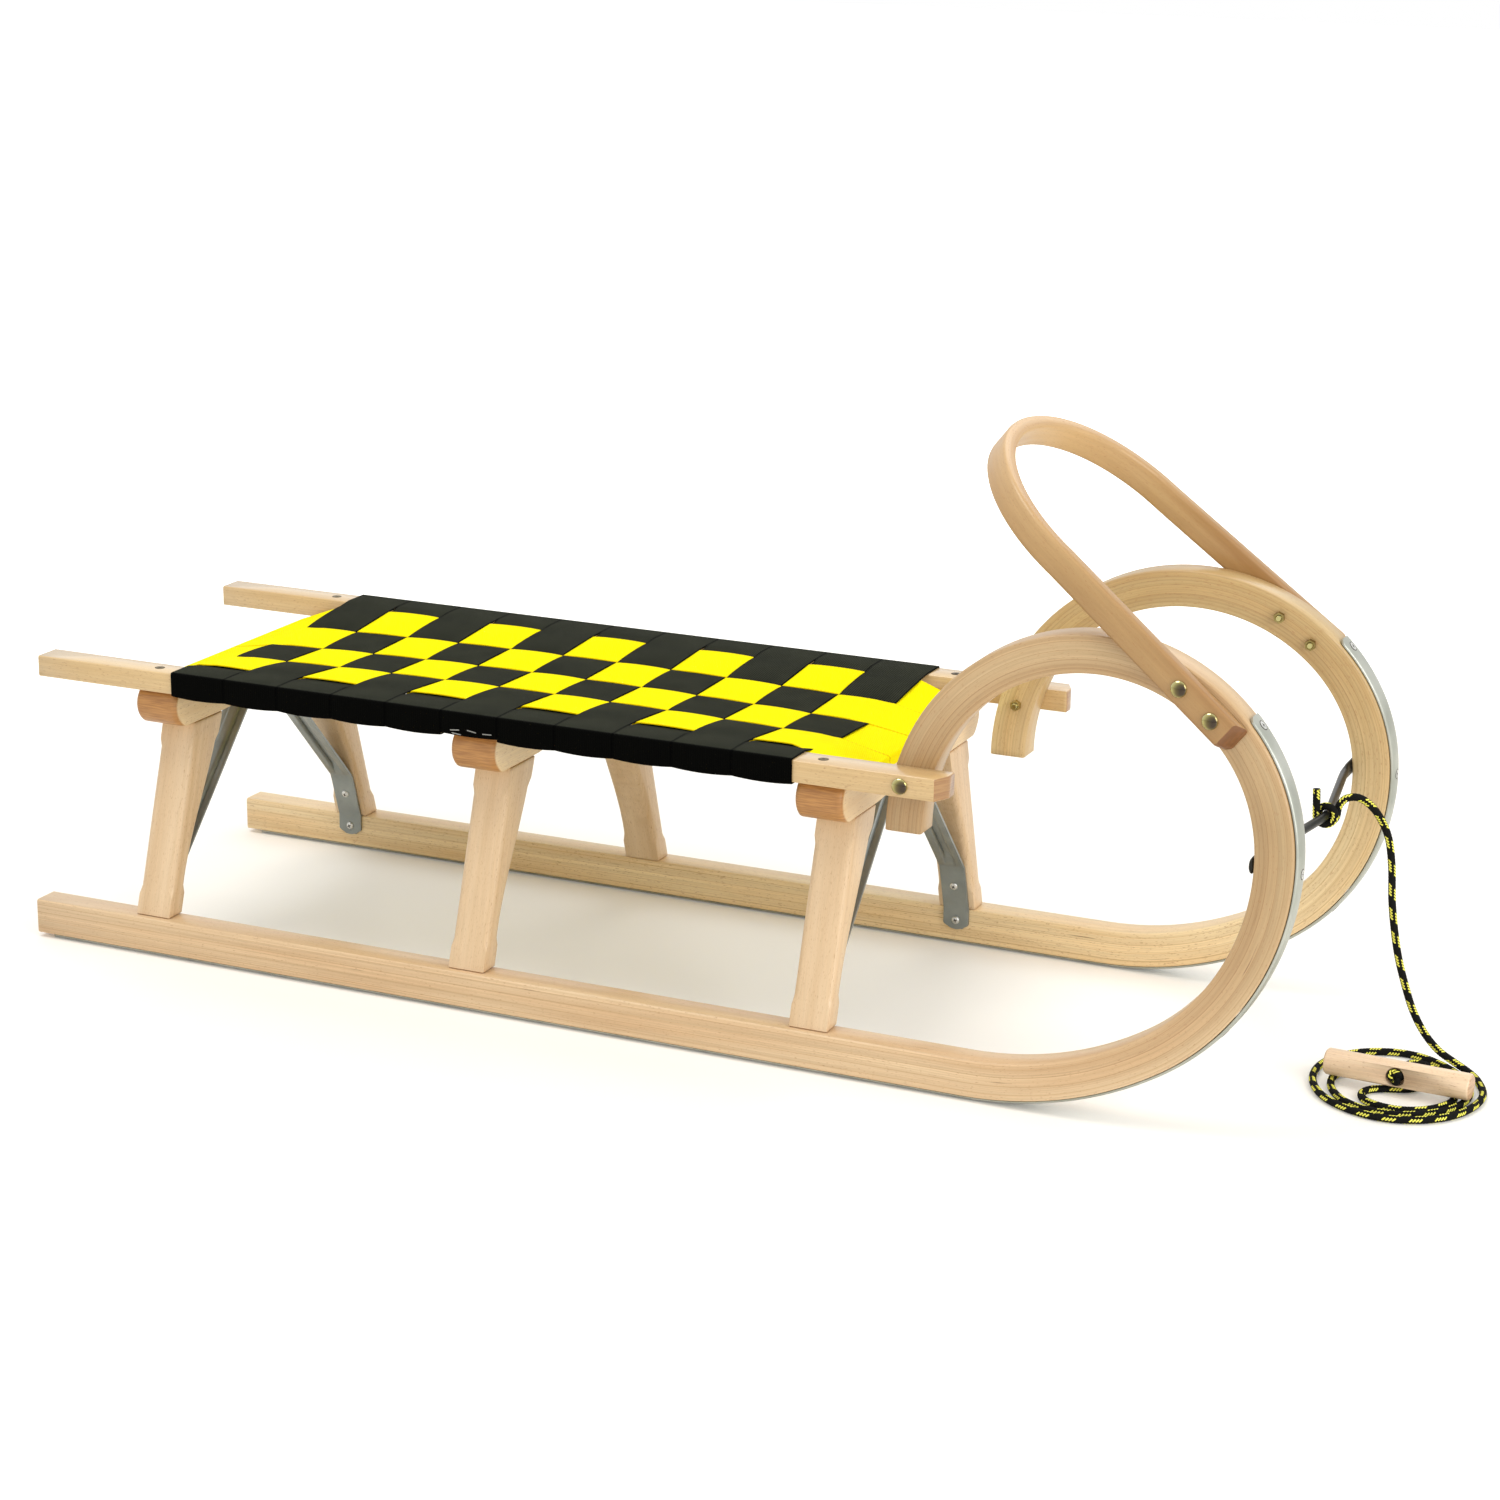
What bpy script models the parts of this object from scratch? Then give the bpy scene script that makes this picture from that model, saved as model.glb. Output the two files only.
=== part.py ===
# A child's wooden horn sled: bent runners, legs, seat rails, woven seat, bow handle and pull rope.
# Metres. +X points forward, where the horns are, +Y to the sled's left and +Z up.
# The sled stands on z = 0 and its middle plane is y = 0.

import math

import bmesh
import bpy
import numpy as np
from mathutils import Matrix, Vector

# Sizes

GAP = 0.0003                      # play left between two pieces that touch
SIDES = {"right": -1, "left": 1}

# seat rails: two straight boards, bolted to the horns near their front ends
RAIL_BOLT_X = 0.2405
RAIL_BOLT_INSET = 0.0348          # distance from a rail's front end back to its bolt
RAIL_LENGTH = 0.8253
RAIL_WIDTH = 0.026
RAIL_HEIGHT = 0.0181
RAIL_TOP_Z = 0.2454
RAIL_OVERHANG = 0.0034            # how far the rails stand out past the crossbeams' ends
RAIL_NOSE_LENGTH = 0.007          # the slanted front corner, along the rail
RAIL_NOSE_DEPTH = 0.0145          # and across it

# runners: one bent strip each, straight on the ground, then curled up and back into a horn
RUNNER_REAR_X = -0.5467
RUNNER_WIDTH = 0.0255
RUNNER_HEIGHT = 0.030
RUNNER_SPREAD = 0.023             # how far the runners stand out past the rails
CURL_START_X = 0.3068
CURL_ARCS = ((0.274, 31.6), (0.174, 61.2), (0.137, 44.0), (0.151, 108.2), (0.170, 25.0))
CURL_STEP_DEGREES = 7.0
SWEEP_START = 0.080               # distance after the curl's start where the horn leans inwards
SWEEP_END = 0.600                 # and where it has reached its rail
WOOD_EDGE = 0.0015

# steel shoes under the runners
SHOE_WIDTH = 0.020
SHOE_THICKNESS = 0.0035
SHOE_EDGE = 0.0012
SHOE_REAR_SETBACK = 0.012
SHOE_END = 0.438                  # distance after the curl's start

# legs and crossbeams
FIRST_LEG_X = -0.4476
LEG_PITCH = 0.3034
LEG_WIDTH = 0.0326
LEG_FOOT_INSET = 0.0055
LEG_TOP_INSET = 0.0295            # distance from a crossbeam's end in to its leg's outer face
LEG_TOP_THICKNESS = 0.042
LEG_FLARE_START = 0.028           # height above the foot where the leg begins to thicken
BEAM_WIDTH = 0.0401
BEAM_HEIGHT = 0.032
BEAM_HALF_LENGTH = 0.1525
BEAM_CORNER_RADIUS = 0.018
BEAM_ARCH = 0.007

# pressed steel braces: leg, beam, leg in one strip
BRACE_WIDTH = 0.023
BRACE_THICKNESS = 0.002
BRACE_FOOT_Z = 0.017
BRACE_BEND_Z = 0.076
BRACE_FLAT = 0.021                # half length of the flat middle under the beam
BRACE_RIB_WIDTH = 0.010
BRACE_RIB_HEIGHT = 0.003
BRACE_CORNER = 0.008              # radius of the feet's rounded corners

# woven seat
CROSS_COUNT = 11
CROSS_GAP = 0.0021
LONG_COUNT = 4
LONG_INSET = 0.0145               # distance from a rail's inner face in to the first long strap
LONG_GAP = 0.0017
STRAP_THICKNESS = 0.0012
WEAVE_PLAY = 0.0004
WEAVE_BULGE = 0.0009
WEAVE_CLEARANCE = 0.0009          # play between two crossings where a strap steps up or down
BEND_PLAY = 0.0006                # a strap's bends are this much wider than the corner they round
SEAT_SAG = 0.0065
SEAT_END_DROP = 0.0055
UNDER_RAIL = 0.019                # length of a cross strap's end under the rail
LONG_TAIL = 0.021                 # length of a long strap's end down the beam's face

# bow handle between the horns
BOW_FOOT_X = 0.4941
BOW_FOOT_Z = 0.3055
BOW_LEAN_DEGREES = 51.6
BOW_THICKNESS = 0.0123
BOW_WIDTH = 0.0235
BOW_ARM = 0.179
BOW_RISE = 0.1077
BOW_ARM_SLOPE = 0.107             # how much the arms close in, per length
BOW_SEAT = 0.085                  # length of arm that lies against the horn
BOW_EDGE = 0.003
BOW_BOLTS = (0.0182, 0.0509)      # distances from the arm's lower end

# carriage bolts
BOLT_RADIUS = 0.0025
BOLT_HEAD_RADIUS = 0.0065
BOLT_HEAD_HEIGHT = 0.0034
BOLT_HOLE_RADIUS = 0.0028
NUT_ACROSS = 0.008
NUT_HEIGHT = 0.004
BOLT_TIP = 0.002                  # thread that shows behind the nut
BOLT_RIM = 0.0004                 # straight edge under the domed head
BOW_GRIP_PLAY = 0.0008            # room for the nut on the horn's slanted inner face

# tie rod across the hollow of the horns
ROD_RADIUS = 0.0035
ROD_Z = 0.211
ROD_FORWARD = 0.0165              # how far the middle stands in front of the ends
ROD_TAB_HEIGHT = 0.013
ROD_TAB_THICKNESS = 0.0045
ROD_TAB_LENGTH = 0.026
ROD_TIP_INSET = 0.004

# rope and pull handle
ROPE_RADIUS = 0.003
ROPE_FLOOR = ROPE_RADIUS + 0.0001
KNOT_TURNS = 1.5
KNOT_PITCH = 0.0068
HANDLE_LENGTH = 0.115
HANDLE_RADIUS = 0.0105
HANDLE_CHAMFER = 0.0015
HANDLE_X = 0.605
HANDLE_Y = -0.0177
HANDLE_TURN_DEGREES = -2.93
HANDLE_BORE_RADIUS = 0.0037
HANDLE_POCKET_RADIUS = 0.007
HANDLE_POCKET_FLOOR = 0.001       # how far the pocket's floor lies in front of the axis
STOPPER_RADIUS = 0.006

# Sizes that follow

RUNNER_MIDDLE_Z = SHOE_THICKNESS + GAP + RUNNER_HEIGHT / 2
RUNNER_TOP_Z = RUNNER_MIDDLE_Z + RUNNER_HEIGHT / 2
RAIL_BOTTOM_Z = RAIL_TOP_Z - RAIL_HEIGHT
RAIL_FRONT_X = RAIL_BOLT_X + RAIL_BOLT_INSET
RAIL_REAR_X = RAIL_FRONT_X - RAIL_LENGTH
RAIL_OUTER_Y = BEAM_HALF_LENGTH + RAIL_OVERHANG
RAIL_INNER_Y = RAIL_OUTER_Y - RAIL_WIDTH
RUNNER_OUTER_Y = RAIL_OUTER_Y + RUNNER_SPREAD
LEG_TOP_OUTER_Y = BEAM_HALF_LENGTH - LEG_TOP_INSET
LONG_PITCH = 2 * (RAIL_INNER_Y - LONG_INSET) / LONG_COUNT
HORN_END_OUTER_Y = RAIL_INNER_Y - GAP
BEAM_TOP_Z = RAIL_BOTTOM_Z - GAP
BEAM_BOTTOM_Z = BEAM_TOP_Z - BEAM_HEIGHT
LEG_FOOT_Z = RUNNER_TOP_Z + GAP
LEG_TOP_Z = BEAM_BOTTOM_Z - GAP
LEG_FOOT_OUTER_Y = RUNNER_OUTER_Y - LEG_FOOT_INSET
LEG_FOOT_THICKNESS = RUNNER_WIDTH - LEG_FOOT_INSET
BEAM_FRONTS = [FIRST_LEG_X + LEG_WIDTH + k * LEG_PITCH for k in range(3)]
SEAT_REAR_X = BEAM_FRONTS[0]
SEAT_FRONT_X = BEAM_FRONTS[2] - BEAM_WIDTH
CROSS_PITCH = (SEAT_FRONT_X - SEAT_REAR_X) / CROSS_COUNT
CROSS_WIDTH = CROSS_PITCH - CROSS_GAP
LONG_WIDTH = LONG_PITCH - LONG_GAP
ROW_EDGES = [(k - LONG_COUNT / 2) * LONG_PITCH for k in range(LONG_COUNT + 1)]
SEAT_TOP_Z = RAIL_TOP_Z + GAP + STRAP_THICKNESS / 2
HANDLE_Z = 2 * ROPE_RADIUS + (ROPE_FLOOR - ROPE_RADIUS) + GAP + HANDLE_RADIUS

# Scene and finishes

for old in list(bpy.data.objects):
    bpy.data.objects.remove(old, do_unlink=True)

sled = bpy.data.collections.new("horn_sled")
cutters = bpy.data.collections.new("cutters")
bpy.context.scene.collection.children.link(sled)
bpy.context.scene.collection.children.link(cutters)

FINISHES = {
    "beech": ((0.79, 0.60, 0.36), 0.45, 0.0),
    "beech leg": ((0.80, 0.62, 0.42), 0.48, 0.0),
    "bent beech": ((0.62, 0.37, 0.17), 0.42, 0.0),
    "handle beech": ((0.72, 0.50, 0.35), 0.60, 0.0),
    "shoe steel": ((0.46, 0.48, 0.45), 0.38, 0.9),
    "brace steel": ((0.20, 0.21, 0.19), 0.45, 0.8),
    "rod steel": ((0.05, 0.05, 0.045), 0.35, 0.7),
    "yellow zinc": ((0.62, 0.55, 0.30), 0.25, 1.0),
    "black webbing": ((0.035, 0.036, 0.03), 0.85, 0.0),
    "yellow webbing": ((0.95, 0.85, 0.01), 0.80, 0.0),
    "rope": ((0.03, 0.03, 0.025), 0.85, 0.0),
}


def finish_material(name, finish):
    """A material of its own for one piece, from the list of finishes."""
    colour, roughness, metallic = FINISHES[finish]
    material = bpy.data.materials.new(name)
    material.use_nodes = True
    shader = material.node_tree.nodes["Principled BSDF"]
    shader.inputs["Base Color"].default_value = (*colour, 1.0)
    shader.inputs["Roughness"].default_value = roughness
    shader.inputs["Metallic"].default_value = metallic
    material.diffuse_color = (*colour, 1.0)
    return material


def add_piece(name, mesh, finish, smooth=False):
    """Put a finished mesh into the sled as one named piece."""
    mesh.name = name
    piece = bpy.data.objects.new(name, mesh)
    sled.objects.link(piece)
    mesh.materials.clear()
    mesh.materials.append(finish_material(name, finish))
    if smooth:
        mesh.shade_smooth()
        mesh.set_sharp_from_angle(angle=math.radians(35))
    return piece


# Ways of making a shape


def mesh_from_curve(curve):
    """Turn a curve into a closed mesh and drop the curve."""
    holder = bpy.data.objects.new("drawing", curve)
    sled.objects.link(holder)
    bpy.context.view_layer.update()
    view = bpy.context.evaluated_depsgraph_get()
    mesh = bpy.data.meshes.new_from_object(holder.evaluated_get(view))
    bpy.data.objects.remove(holder, do_unlink=True)
    bpy.data.curves.remove(curve)
    work = bmesh.new()
    work.from_mesh(mesh)
    bmesh.ops.remove_doubles(work, verts=work.verts, dist=1e-6)
    bmesh.ops.recalc_face_normals(work, faces=work.faces)
    work.to_mesh(mesh)
    work.free()
    return mesh


TOP_VIEW = Matrix.Identity(4)     # drawn in X, Y
FRONT_VIEW = Matrix(((0, 0, 1, 0), (1, 0, 0, 0), (0, 1, 0, 0), (0, 0, 0, 1)))  # drawn in Y, Z


def board(outlines, thickness, view, shift):
    """A board sawn to a flat drawing. Outlines inside the first one are holes."""
    curve = bpy.data.curves.new("outline", "CURVE")
    curve.dimensions = "2D"
    curve.fill_mode = "BOTH"
    curve.extrude = thickness / 2
    for outline in outlines:
        spline = curve.splines.new("POLY")
        spline.points.add(len(outline) - 1)
        for point, (u, v) in zip(spline.points, outline):
            point.co = (u, v, 0, 1)
        spline.use_cyclic_u = True
    mesh = mesh_from_curve(curve)
    mesh.transform(Matrix.Translation(shift) @ view)
    return mesh


def bent_sheet(rows):
    """The middle surface of a bent strip: each row is a line of points across it."""
    mesh = bpy.data.meshes.new("sheet")
    across = len(rows[0])
    points = [point for row in rows for point in row]
    faces = []
    for r in range(len(rows) - 1):
        here, there = r * across, (r + 1) * across
        faces += [(here + c, here + c + 1, there + c + 1, there + c) for c in range(across - 1)]
    mesh.from_pydata(points, [], faces)
    return mesh


def thicken(piece, thickness):
    """Give a bent sheet its thickness, half to each side."""
    solid = piece.modifiers.new("thickness", "SOLIDIFY")
    solid.thickness = thickness
    solid.offset = 0
    solid.use_even_offset = True


def round_edges(piece, width, segments=2):
    bevel = piece.modifiers.new("rounded edges", "BEVEL")
    bevel.width = width
    bevel.segments = segments
    bevel.limit_method = "ANGLE"
    bevel.angle_limit = math.radians(40)


def turned(profile, steps, place):
    """A turned mesh: the profile is (radius, height) and spins round its own Z."""
    mesh = bpy.data.meshes.new("profile")
    edges = [(k, k + 1) for k in range(len(profile) - 1)]
    mesh.from_pydata([(radius, 0, height) for radius, height in profile], edges, [])
    holder = bpy.data.objects.new("lathe", mesh)
    sled.objects.link(holder)
    screw = holder.modifiers.new("lathe", "SCREW")
    screw.steps = steps
    screw.render_steps = steps
    screw.use_merge_vertices = True
    screw.merge_threshold = 1e-5
    bpy.context.view_layer.update()
    view = bpy.context.evaluated_depsgraph_get()
    solid = bpy.data.meshes.new_from_object(holder.evaluated_get(view))
    bpy.data.objects.remove(holder, do_unlink=True)
    work = bmesh.new()
    work.from_mesh(solid)
    bmesh.ops.remove_doubles(work, verts=work.verts, dist=1e-6)
    bmesh.ops.recalc_face_normals(work, faces=work.faces)
    work.to_mesh(solid)
    work.free()
    solid.transform(place)
    return solid


def tube(points, radius, bevel_resolution):
    """A round tube with closed ends along a line of points."""
    curve = bpy.data.curves.new("route", "CURVE")
    curve.dimensions = "3D"
    curve.bevel_depth = radius
    curve.bevel_resolution = bevel_resolution
    curve.use_fill_caps = True
    spline = curve.splines.new("POLY")
    spline.points.add(len(points) - 1)
    for point, place in zip(spline.points, points):
        point.co = (*place, 1)
    return mesh_from_curve(curve)


def lofted(rings):
    """A closed solid through rings that all have the same number of points."""
    count = len(rings[0])
    faces = []
    for r in range(len(rings) - 1):
        here, there = r * count, (r + 1) * count
        for c in range(count):
            after = (c + 1) % count
            faces.append((here + c, here + after, there + after, there + c))
    faces.append(tuple(range(count)))
    faces.append(tuple((len(rings) - 1) * count + c for c in range(count)))
    mesh = bpy.data.meshes.new("loft")
    mesh.from_pydata([point for ring in rings for point in ring], [], faces)
    work = bmesh.new()
    work.from_mesh(mesh)
    bmesh.ops.recalc_face_normals(work, faces=work.faces)
    work.to_mesh(mesh)
    work.free()
    return mesh


def smooth_route(points, steps):
    """A smooth line through hand-set points."""
    route = [Vector(point) for point in points]
    padded = [2 * route[0] - route[1]] + route + [2 * route[-1] - route[-2]]
    line = []
    for before, start, end, after in zip(padded, padded[1:], padded[2:], padded[3:]):
        leaving = (end - before) / 2
        arriving = (after - start) / 2
        for k in range(steps):
            t = k / steps
            bend = (3 * (end - start) - 2 * leaving - arriving) * t**2
            line.append(start + leaving * t + bend + (leaving + arriving - 2 * (end - start)) * t**3)
    line.append(route[-1])
    return line


def ease(t):
    """0 to 1 with a gentle start and end."""
    t = min(max(t, 0.0), 1.0)
    return t * t * (3 - 2 * t)


def drill(piece, radius, centre, axis, length):
    """Cut a round hole through a piece."""
    mesh = bpy.data.meshes.new("drill")
    work = bmesh.new()
    turn = Vector((0, 0, 1)).rotation_difference(axis).to_matrix().to_4x4()
    bmesh.ops.create_cone(
        work,
        cap_ends=True,
        segments=20,
        radius1=radius,
        radius2=radius,
        depth=length,
        matrix=Matrix.Translation(centre) @ turn,
    )
    work.to_mesh(mesh)
    work.free()
    cutter = bpy.data.objects.new("drill_" + piece.name, mesh)
    cutter.hide_render = True
    cutter.display_type = "WIRE"
    cutters.objects.link(cutter)
    hole = piece.modifiers.new("hole", "BOOLEAN")
    hole.operation = "DIFFERENCE"
    hole.solver = "EXACT"
    hole.object = cutter


# The runner's line


def runner_point(distance):
    """Place and direction on the runner's middle line, measured from the curl's start."""
    x, z, angle = CURL_START_X, RUNNER_MIDDLE_Z, 0.0
    if distance <= 0:
        return x + distance, z, angle
    for radius, degrees in CURL_ARCS:
        turn = min(distance / radius, math.radians(degrees))
        x += radius * (math.sin(angle + turn) - math.sin(angle))
        z += radius * (math.cos(angle) - math.cos(angle + turn))
        angle += turn
        distance -= radius * turn
        if distance <= 1e-9:
            break
    return x, z, angle


CURL_LENGTH = sum(radius * math.radians(degrees) for radius, degrees in CURL_ARCS)


def horn_outer_y(distance):
    """The horn's outer face comes in from the runner's width to its seat rail."""
    t = (distance - SWEEP_START) / (SWEEP_END - SWEEP_START)
    return RUNNER_OUTER_Y + (HORN_END_OUTER_Y - RUNNER_OUTER_Y) * ease(t)


def runner_marks(first, last):
    """Distances at which a strip that follows the runner gets a line across."""
    marks = [first]
    start = 0.0
    for radius, degrees in CURL_ARCS:
        steps = math.ceil(degrees / CURL_STEP_DEGREES)
        length = radius * math.radians(degrees)
        marks += [start + length * k / steps for k in range(steps)]
        start += length
    return [mark for mark in marks if mark < last - 0.004] + [last]


def runner_rows(side, first, last, offset, inset, width):
    """Rows across a strip that lies on the runner, offset from its middle line to the outside."""
    rows = []
    for distance in runner_marks(first, last):
        x, z, angle = runner_point(distance)
        outer = horn_outer_y(distance) - inset
        px = x + offset * math.sin(angle)
        pz = z - offset * math.cos(angle)
        rows.append([(px, side * outer, pz), (px, side * (outer - width), pz)])
    return rows


def nearest_distance(x, z):
    """Distance along the curl of the point nearest to a place in the side view."""
    marks = np.arange(0.30, 0.62, 0.002)
    return min(marks, key=lambda s: math.hypot(runner_point(s)[0] - x, runner_point(s)[1] - z))


# Runners and shoes


def make_runner(side_name, side):
    rows = runner_rows(side, RUNNER_REAR_X - CURL_START_X, CURL_LENGTH, 0.0, 0.0, RUNNER_WIDTH)
    runner = add_piece("runner_" + side_name, bent_sheet(rows), "bent beech")
    thicken(runner, RUNNER_HEIGHT)
    round_edges(runner, WOOD_EDGE, 1)
    return runner


def make_shoe(side_name, side):
    first = RUNNER_REAR_X + SHOE_REAR_SETBACK - CURL_START_X
    offset = RUNNER_HEIGHT / 2 + GAP + SHOE_THICKNESS / 2
    inset = (RUNNER_WIDTH - SHOE_WIDTH) / 2
    rows = runner_rows(side, first, SHOE_END, offset, inset, SHOE_WIDTH)
    shoe = add_piece("shoe_" + side_name, bent_sheet(rows), "shoe steel")
    thicken(shoe, SHOE_THICKNESS)
    round_edges(shoe, SHOE_EDGE, 1)
    return shoe


# Rails, beams and legs


def make_rail(side_name, side):
    front = RAIL_FRONT_X
    corners = [
        (RAIL_REAR_X, RAIL_OUTER_Y),
        (front - RAIL_NOSE_LENGTH, RAIL_OUTER_Y),
        (front, RAIL_OUTER_Y - RAIL_NOSE_DEPTH),
        (front, RAIL_INNER_Y),
        (RAIL_REAR_X, RAIL_INNER_Y),
    ]
    outline = [(x, side * y) for x, y in corners]
    middle = (0, 0, (RAIL_TOP_Z + RAIL_BOTTOM_Z) / 2)
    rail = add_piece("seat_rail_" + side_name, board([outline], RAIL_HEIGHT, TOP_VIEW, middle), "beech")
    round_edges(rail, WOOD_EDGE / 2, 1)
    return rail


def beam_underside(y):
    """Height of the beam's arched underside."""
    reach = LEG_TOP_OUTER_Y - LEG_TOP_THICKNESS
    return BEAM_BOTTOM_Z + BEAM_ARCH * (1 - ease(abs(y) / reach))


def make_beam(name, front_x):
    outline = [(BEAM_HALF_LENGTH, BEAM_TOP_Z), (-BEAM_HALF_LENGTH, BEAM_TOP_Z)]
    corner_y = BEAM_HALF_LENGTH - BEAM_CORNER_RADIUS
    corner_z = BEAM_BOTTOM_Z + BEAM_CORNER_RADIUS
    turns = [math.radians(90 * k / 6) for k in range(7)]
    for turn in turns:
        y = corner_y + BEAM_CORNER_RADIUS * math.cos(turn)
        outline.append((-y, corner_z - BEAM_CORNER_RADIUS * math.sin(turn)))
    reach = LEG_TOP_OUTER_Y - LEG_TOP_THICKNESS
    outline += [(y, beam_underside(y)) for y in np.linspace(-reach, reach, 17)]
    for turn in reversed(turns):
        y = corner_y + BEAM_CORNER_RADIUS * math.cos(turn)
        outline.append((y, corner_z - BEAM_CORNER_RADIUS * math.sin(turn)))
    middle = (front_x - BEAM_WIDTH / 2, 0, 0)
    beam = add_piece(name, board([outline], BEAM_WIDTH, FRONT_VIEW, middle), "beech leg")
    round_edges(beam, WOOD_EDGE / 2, 1)
    return beam


def leg_outer_y(z):
    t = (z - LEG_FOOT_Z) / (LEG_TOP_Z - LEG_FOOT_Z)
    return LEG_FOOT_OUTER_Y + (LEG_TOP_OUTER_Y - LEG_FOOT_OUTER_Y) * t


def leg_inner_y(z):
    """The leg grows from the runner's width to its broad head."""
    start = LEG_FOOT_Z + LEG_FLARE_START
    grown = ease((z - start) / (LEG_TOP_Z - start))
    return leg_outer_y(z) - LEG_FOOT_THICKNESS - (LEG_TOP_THICKNESS - LEG_FOOT_THICKNESS) * grown


def make_leg(name, front_x, side):
    heights = [LEG_FOOT_Z] + list(np.linspace(LEG_FOOT_Z + LEG_FLARE_START, LEG_TOP_Z, 10))
    outline = [(side * leg_outer_y(LEG_FOOT_Z), LEG_FOOT_Z), (side * leg_outer_y(LEG_TOP_Z), LEG_TOP_Z)]
    outline += [(side * leg_inner_y(z), z) for z in reversed(heights)]
    middle = (front_x - LEG_WIDTH / 2, 0, 0)
    leg = add_piece(name, board([outline], LEG_WIDTH, FRONT_VIEW, middle), "beech leg")
    round_edges(leg, WOOD_EDGE, 1)
    return leg


# Steel braces


def brace_line():
    """Side view of half a brace, from its foot up to the middle of the beam, as (y, z)."""
    off_face = GAP + BRACE_THICKNESS / 2
    lean = math.atan2(leg_outer_y(LEG_FOOT_Z) - leg_outer_y(LEG_TOP_Z), LEG_TOP_Z - LEG_FOOT_Z)
    foot_y = RUNNER_OUTER_Y - RUNNER_WIDTH - off_face
    bend_y = leg_inner_y(BRACE_BEND_Z) - off_face / math.cos(lean)
    top_z = beam_underside(BRACE_FLAT) - GAP - BRACE_THICKNESS / 2
    return [
        (foot_y, BRACE_FOOT_Z),
        (foot_y, LEG_FOOT_Z),
        (bend_y, BRACE_BEND_Z),
        (BRACE_FLAT, top_z),
        (0.0, top_z),
    ]


def make_brace(name, middle_x):
    """One pressed strip with a rib along each slanted arm and rounded feet."""
    line = brace_line()
    foot, ankle, bend, top, centre = [Vector((y, z)) for y, z in line]
    stations = []
    for drop in (0.0, 0.0012, 0.0035, 0.008):
        stations.append((foot + Vector((0, drop)), 0.0, drop))
    stations += [(ankle, 0.0, 1.0), (bend, 0.0, 1.0)]
    for t, rib in ((0.05, 0.0), (0.12, 1.0), (0.5, 1.0), (0.90, 1.0), (0.97, 0.0)):
        stations.append((bend.lerp(top, t), rib, 1.0))
    stations += [(top, 0.0, 1.0), (centre, 0.0, 1.0)]
    arm = (top - bend).normalized()
    outward = Vector((arm.y, -arm.x))
    rib_half = BRACE_RIB_WIDTH / 2
    rows = []
    for point, rib, drop in stations:
        missing = BRACE_CORNER - min(drop, BRACE_CORNER)
        edge = BRACE_WIDTH / 2 - BRACE_CORNER + math.sqrt(BRACE_CORNER**2 - missing**2)
        shoulder = min(rib_half, 0.8 * edge)
        across = ((-edge, 0), (-shoulder, 0), (-shoulder * 0.6, 1))
        row = []
        for x, lift in across + tuple((-x, lift) for x, lift in reversed(across)):
            raised = point + outward * lift * rib * BRACE_RIB_HEIGHT
            row.append((middle_x + x, raised.x, raised.y))
        rows.append(row)
    mirrored = [[(x, -y, z) for x, y, z in row] for row in reversed(rows[:-1])]
    brace = add_piece(name, bent_sheet(rows + mirrored), "brace steel")
    thicken(brace, BRACE_THICKNESS)
    return brace


# Bow handle


BOW_LEAN = math.radians(BOW_LEAN_DEGREES)
BOW_UP = Vector((-math.sin(BOW_LEAN), 0, math.cos(BOW_LEAN)))
BOW_FACE = Vector((math.cos(BOW_LEAN), 0, math.sin(BOW_LEAN)))
BOW_FOOT = Vector((BOW_FOOT_X, 0, BOW_FOOT_Z))
ARM_TILT = math.atan(BOW_ARM_SLOPE)


def bow_foot_half_span():
    """The arms stand just far enough apart to lie against the horns' outer faces."""
    need = 0.0
    for along in np.linspace(0, BOW_SEAT, 12):
        for across in (-0.5, 0.0, 0.5):
            place = BOW_FOOT + BOW_UP * along + BOW_FACE * across * BOW_WIDTH
            face = horn_outer_y(nearest_distance(place.x, place.z)) + GAP
            need = max(need, face + BOW_THICKNESS / 2 / math.cos(ARM_TILT) + BOW_ARM_SLOPE * along)
    return need


BOW_HALF_SPAN = bow_foot_half_span()
BOW_TOP_HALF_SPAN = BOW_HALF_SPAN - BOW_ARM_SLOPE * BOW_ARM


def bow_line():
    """Middle line of the bow as (y, distance up the bow's plane), right arm first."""
    arm = [(BOW_HALF_SPAN - BOW_ARM_SLOPE * d, d) for d in (0.0, BOW_SEAT, BOW_ARM * 0.75)]
    arc = []
    for k in range(25):
        turn = math.pi * k / 24
        arc.append((BOW_TOP_HALF_SPAN * math.cos(turn), BOW_ARM + BOW_RISE * math.sin(turn)))
    left = arm + arc
    return [(y, d) for y, d in reversed(left + [(-y, d) for y, d in reversed(arm)])]


def make_bow():
    rows = []
    for y, d in bow_line():
        middle = BOW_FOOT + BOW_UP * d + Vector((0, y, 0))
        rows.append([middle + BOW_FACE * BOW_WIDTH / 2, middle - BOW_FACE * BOW_WIDTH / 2])
    bow = add_piece("bow_handle", bent_sheet(rows), "bent beech")
    thicken(bow, BOW_THICKNESS)
    round_edges(bow, BOW_EDGE)
    return bow


# Carriage bolts


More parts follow.
